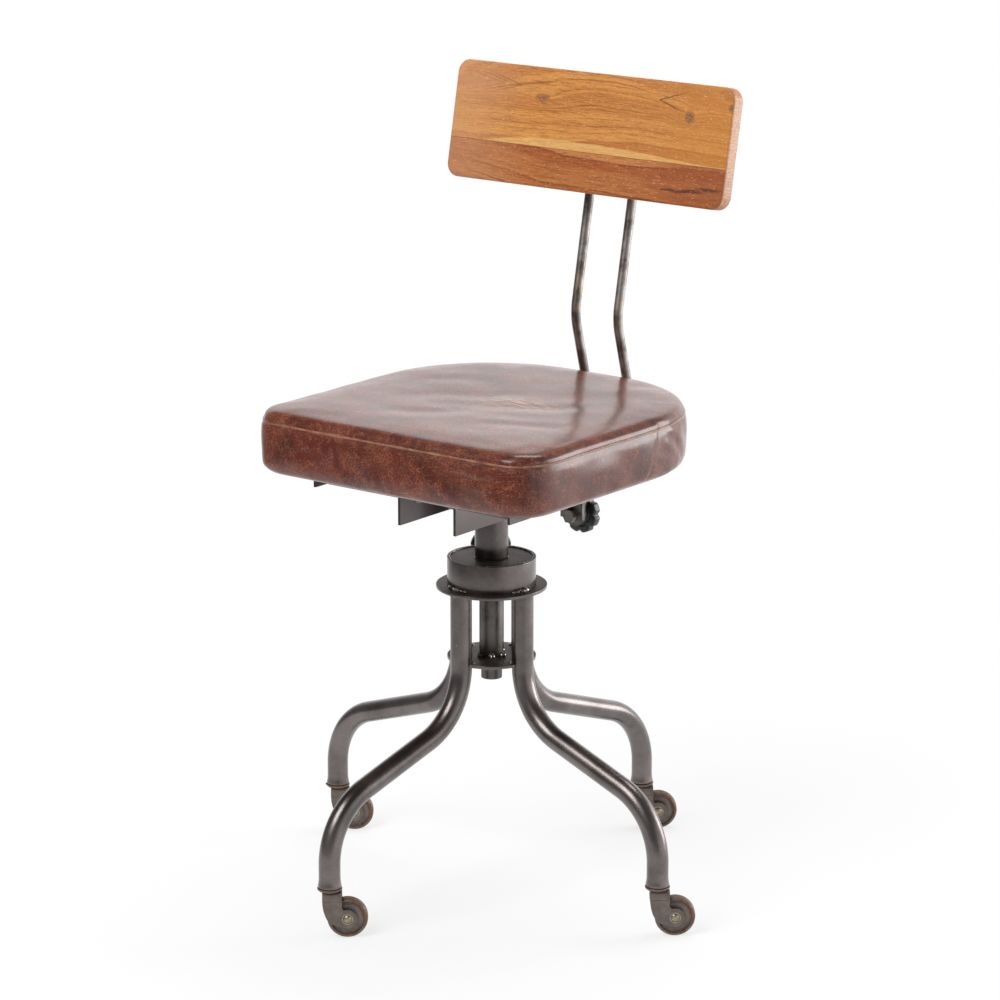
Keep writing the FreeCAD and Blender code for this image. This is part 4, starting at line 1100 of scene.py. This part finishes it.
class CHAIR_OT_casters(bpy.types.Operator):
    """Forks, wheels, rivets and washers of the four casters"""
    bl_idname = "chair.casters"
    bl_label = "Casters"

    def execute(self, context):
        fork = fork_mesh(rusty_iron("browned fork iron"))
        wheel = wheel_mesh(rusty_iron("cast wheel iron", rust_radius=15.0))
        rivet = rivet_mesh(dull_brass("rivet brass"))
        axle = Matrix.Translation(mm(TRAIL, 0, WHEEL_RADIUS))
        feet = {corner: Matrix.Translation(mm(sx * LEG_FOOT, sy * LEG_FOOT, 0))
                for corner, (sx, sy) in CORNERS.items()}
        bm = bmesh.new()
        for number, foot in enumerate(feet.values()):
            lathe(bm, WASHER, foot, sides=56)
            tack(bm, foot, 12.1, 35 + 50 * number, 49.8, 1.1, number)
        rust = rusty_iron("rusted washer iron", rust_radius=0.5, most=0.35)
        make("foot_washers_rusted", bm, "base", rust, ("foot_washers",), BASE)
        for corner, foot in feet.items():
            for kind, mesh, body, slot, part, place, edge in (
                    ("fork_", fork, "caster_", "rusty_steel", "caster_fork_", foot, 0.35),
                    ("wheel_", wheel, "wheel_", "wheel_iron", "caster_wheel_", foot @ axle, 0.0),
                    ("rivet_", rivet, "caster_", "brass", "caster_axle_", foot @ axle, 0.0)):
                set_down(kind + corner, mesh, body + corner, (part + corner,), BASE @ place,
                         edge)
        return {"FINISHED"}


# --- Knobs ------------------------------------------------------------------------------------
KNOB_RADIUS = 21.0
KNOB_SIDES = 128
LOBES = 8
LOBE_DEPTH = 2.6
KNOB_LEVELS = [
    # how far inside the rim, place along the axis, and share of the lobes' depth
    (17.0, 0.2, 0), (11.2, 0.0, 0), (11.0, 0.3, 0), (11.0, 2.0, 0), (9.2, 2.3, 0.1),
    (8.4, 3.1, 0.1), (7.6, 3.1, 0.2), (6.6, 2.2, 0.4), (2.0, 2.1, 0.9), (0.9, 2.4, 1),
    (0.25, 3.1, 1), (0.0, 4.2, 1),
    (0.0, 9.8, 1), (0.25, 10.9, 1), (0.9, 11.6, 1), (2.0, 11.9, 0.9), (7.0, 11.9, 0.3),
    (7.6, 11.2, 0.2), (9.0, 11.2, 0.1), (9.8, 12.0, 0), (17.0, 12.0, 0)]
KNOB_PLACES = {"lock_knob": BASE @ Matrix.Translation(mm(0, 56.6, 334.0)),
               "back_knob": Matrix.Translation(mm(0, 144.95, 356.0))}


def knob_mesh(material):
    """Lobed hand knob about the Y axis, hub towards -Y, with a ring sunk into its face."""
    bm = bmesh.new()
    rings = []
    for inset, y, lobed in KNOB_LEVELS:
        rings.append([])
        for a in turns(KNOB_SIDES):
            dip = lobed * LOBE_DEPTH * max(0.0, cos(LOBES * a)) ** 1.6
            radius = KNOB_RADIUS - dip - inset
            rings[-1].append(mm(radius * cos(a), y, radius * sin(a)))
    skin(bm, rings, ends=())
    return closed_mesh("lobed_knob", bm, material)


class CHAIR_OT_knobs(bpy.types.Operator):
    """The two lobed hand knobs"""
    bl_idname = "chair.knobs"
    bl_label = "Hand Knobs"

    def execute(self, context):
        mesh = knob_mesh(knob_plastic("satin knob plastic"))
        for node, place in KNOB_PLACES.items():
            set_down(node + "_lobed", mesh, node, (node,), place)
        return {"FINISHED"}


# --- Seat frame -------------------------------------------------------------------------------
CHANNEL = [(-36, 390), (-36, 421), (36, 421), (36, 390),
           (33, 390), (33, 418), (-33, 418), (-33, 390)]
CHANNEL_BENDS = [0.5, 4.0, 4.0, 0.5, 0.5, 1.2, 1.2, 0.5]
PAN = [(-119, -114), (119, -114), (119, 120), (-119, 120)]
PAN_HEIGHT = 421
RAIL = [(122, 420.5), (122, 440), (104, 440), (104, 437), (119, 437), (119, 420.5)]


class CHAIR_OT_seat_frame(bpy.types.Operator):
    """Folded channel, pan and rails under the seat"""
    bl_idname = "chair.seat_frame"
    bl_label = "Seat Frame"

    def execute(self, context):
        # dark=0.4 darkens the frame under the seat: painted shade.
        finish = lacquered_steel("lacquered seat frame steel", dark=0.4)
        channel = [mm(x, -104, z) for x, z in eased(CHANNEL, CHANNEL_BENDS, 6)]
        pan = [mm(x, y, PAN_HEIGHT) for x, y in eased(PAN, 4.0)]
        pieces = [("channel_folded", "seat_channel", channel, mm(0, 238, 0), 0.35),
                  ("pan_plate", "seat_pan", pan, mm(0, 0, 3), 0.4)]
        for side, name in ((-1, "left"), (1, "right")):
            rail = [mm(side * x, -130, z) for x, z in RAIL]
            pieces.append(("rail_" + name, "seat_rail_" + name, rail, mm(0, 250, 0), 0.5))
        for name, node, outline, depth, edge in pieces:
            bm = bmesh.new()
            prism(bm, outline, depth)
            make(name, bm, "seat", finish, (node,), edge=edge)
        return {"FINISHED"}


class CHAIR_OT_fittings(bpy.types.Operator):
    """Finishes for the bolts, brackets and bushes that keep their frame shapes"""
    bl_idname = "chair.fittings"
    bl_label = "Brackets and Fasteners"

    def execute(self, context):
        finishes = {
            "black_steel": lacquered_steel("lacquered bracket steel"),
            "bright_steel": bare_steel("fastener steel", look("metal").bare),
            "rusty_steel": rusty_iron("browned stem steel"),
            "brass": dull_brass("pad brass"),
            "bronze_bush": dull_brass("bush bronze"),
            "plywood": plywood("seat plywood"),
        }
        slots = {entry["node"]: entry["material_slot"] for entry in frame["record"]["subparts"]}
        for node, piece in frame["nodes"].items():
            if not piece.hide_render:
                piece.data.materials.clear()
                piece.data.materials.append(finishes[slots[node]])
        return {"FINISHED"}


# --- Stage ------------------------------------------------------------------------------------
CAMERA_PLACE = (2356.5, -3057.2, 1396.0)
CAMERA_DOWN = 14.47
CAMERA_TURN = 37.5
LENS = 144.0
AIM = (0, 0, 0.45)                  # the lights point here, in metres
FLOOR_RINGS = (600, 3000, 30000)
BRIGHT_SIDE = (0.33, 0.94, 0.0)     # the room is palest behind the chair and to its left hand
SOFT_LIGHTS = [
    # name, setting for its power, place turned with the camera, width and height, in metres
    ("key", "key_power", (-1.6, -1.5, 2.5), (1.6, 1.6)),
    ("side", "side_power", (2.4, 0.6, 0.75), (1.2, 1.3)),
    ("top", "top_power", (0.5, 0.9, 2.6), (1.5, 0.8)),
]


class RoomLight(Finish):
    """The room: white to the eye, and in reflections pale on one side and dark overhead."""

    def __init__(self, strength):
        world = bpy.data.worlds.new("pale room")
        bpy.context.scene.world = world
        world.use_nodes = True
        self.tree = world.node_tree
        self.tree.nodes.clear()
        way = self.node("ShaderNodeTexCoord").outputs["Generated"]
        side = self.band(self.vector("DOT_PRODUCT", way, BRIGHT_SIDE), -0.5, 0.6, 0.2, 1.36)
        overhead = self.band(self.axis("Z", way), 0.40, 0.58, 1.0, 0.12)
        path = self.node("ShaderNodeLightPath").outputs
        shown = self.glow(strength)
        for ray, level in (("Is Glossy Ray", self.times(side, overhead)), ("Is Camera Ray", 1.0)):
            shown = self.node("ShaderNodeMixShader", {
                0: path[ray], 1: shown, 2: self.glow(level)}).outputs[0]
        self.node("ShaderNodeOutputWorld", {0: shown})

    def glow(self, strength):
        return self.node("ShaderNodeBackground", {"Color": WHITE, "Strength": strength}).outputs[0]


def floor_finish(tone):
    """Plain floor that shows white to the eye, keeps a shadow, and reflects as the room does."""
    f = Finish("plain floor", Roughness=0.9, Specular_IOR_Level=0.1, Base_Color=tone)
    path = f.node("ShaderNodeLightPath").outputs
    mirrored = path["Is Glossy Ray"]
    side = f.vector("DOT_PRODUCT", f.place, BRIGHT_SIDE)
    away = f.vector("LENGTH", f.place)
    level = f.more(f.band(side, -1.0, 0.5, 0.12, 1.1), f.band(away, 1.75, 0.9, 0.0, 1.0))
    strength = f.plus(f.times(mirrored, f.less(level, 1.0)), 1.0)
    shown = f.node("ShaderNodeEmission", {"Color": WHITE, "Strength": strength})
    seen = f.more(path["Is Camera Ray"], path["Is Transmission Ray"])
    share = f.more(f.times(f.band(away, 0.2, 0.9, 0.7, 1.0), seen), mirrored)
    mix = f.node("ShaderNodeMixShader", {0: share, 1: f.shader.outputs[0], 2: shown.outputs[0]})
    f.feed(f.tree.nodes["Material Output"].inputs[0], mix.outputs[0])
    return f.material


def soft_light(name, watts, place, size):
    light = bpy.data.lights.new(name, "AREA")
    light.shape = "RECTANGLE"
    light.size, light.size_y = size
    light.energy = watts
    holder = bpy.data.objects.new(name, light)
    bpy.context.scene.collection.objects.link(holder)
    holder.location = place
    holder.rotation_mode = "QUATERNION"
    holder.rotation_quaternion = (Vector(AIM) - place).to_track_quat("-Z", "Y")


class CHAIR_OT_stage(bpy.types.Operator):
    """Floor, soft lights, pale room and camera"""
    bl_idname = "chair.stage"
    bl_label = "Stage"

    def execute(self, context):
        stage = look("stage")
        scene = context.scene
        scene.view_settings.view_transform = "Standard"
        bm = bmesh.new()
        skin(bm, [[polar(radius, a, 0) for a in turns(64)] for radius in FLOOR_RINGS], ends=(0,))
        mesh = closed_mesh("floor", bm, floor_finish(stage.floor))
        floor = bpy.data.objects.new("floor", mesh)
        scene.collection.objects.link(floor)
        RoomLight(stage.sky)
        turn = Matrix.Rotation(radians(CAMERA_TURN), 3, "Z")
        for name, setting, place, size in SOFT_LIGHTS:
            soft_light(name, getattr(stage, setting), turn @ Vector(place), size)
        view = bpy.data.cameras.new("view")
        view.lens = LENS
        view.sensor_width = 36.0
        view.clip_end = 60.0
        camera = bpy.data.objects.new("view", view)
        scene.collection.objects.link(camera)
        camera.location = mm(*CAMERA_PLACE)
        camera.rotation_euler = (radians(90 - CAMERA_DOWN), 0, radians(CAMERA_TURN))
        scene.camera = camera
        return {"FINISHED"}


OPERATORS = [CHAIR_OT_seat, CHAIR_OT_back_board, CHAIR_OT_back_rods, CHAIR_OT_legs,
             CHAIR_OT_housing, CHAIR_OT_welds, CHAIR_OT_casters, CHAIR_OT_knobs,
             CHAIR_OT_seat_frame, CHAIR_OT_fittings, CHAIR_OT_stage]


class CHAIR_PT_panel(bpy.types.Panel):
    """Lists the chair's pieces and their settings"""
    bl_label = "Swivel Chair"
    bl_idname = "CHAIR_PT_panel"
    bl_space_type = "VIEW_3D"
    bl_region_type = "UI"
    bl_category = "Chair"

    def draw(self, context):
        for operator in OPERATORS:
            self.layout.operator(operator.bl_idname)
        for kind, group in LOOKS.items():
            box = self.layout.box()
            box.label(text=kind.capitalize())
            for name in group.__annotations__:
                box.prop(look(kind), name)


def register():
    for kind, group in LOOKS.items():
        bpy.utils.register_class(group)
        setattr(bpy.types.Scene, "chair_" + kind, PointerProperty(type=group))
    for operator in OPERATORS:
        bpy.utils.register_class(operator)
    bpy.utils.register_class(CHAIR_PT_panel)


def unregister():
    bpy.utils.unregister_class(CHAIR_PT_panel)
    for operator in reversed(OPERATORS):
        bpy.utils.unregister_class(operator)
    for kind, group in LOOKS.items():
        delattr(bpy.types.Scene, "chair_" + kind)
        bpy.utils.unregister_class(group)


def main():
    register()
    for operator in OPERATORS:
        getattr(bpy.ops.chair, operator.bl_idname.split(".")[1])()


if __name__ == "__main__":
    main()
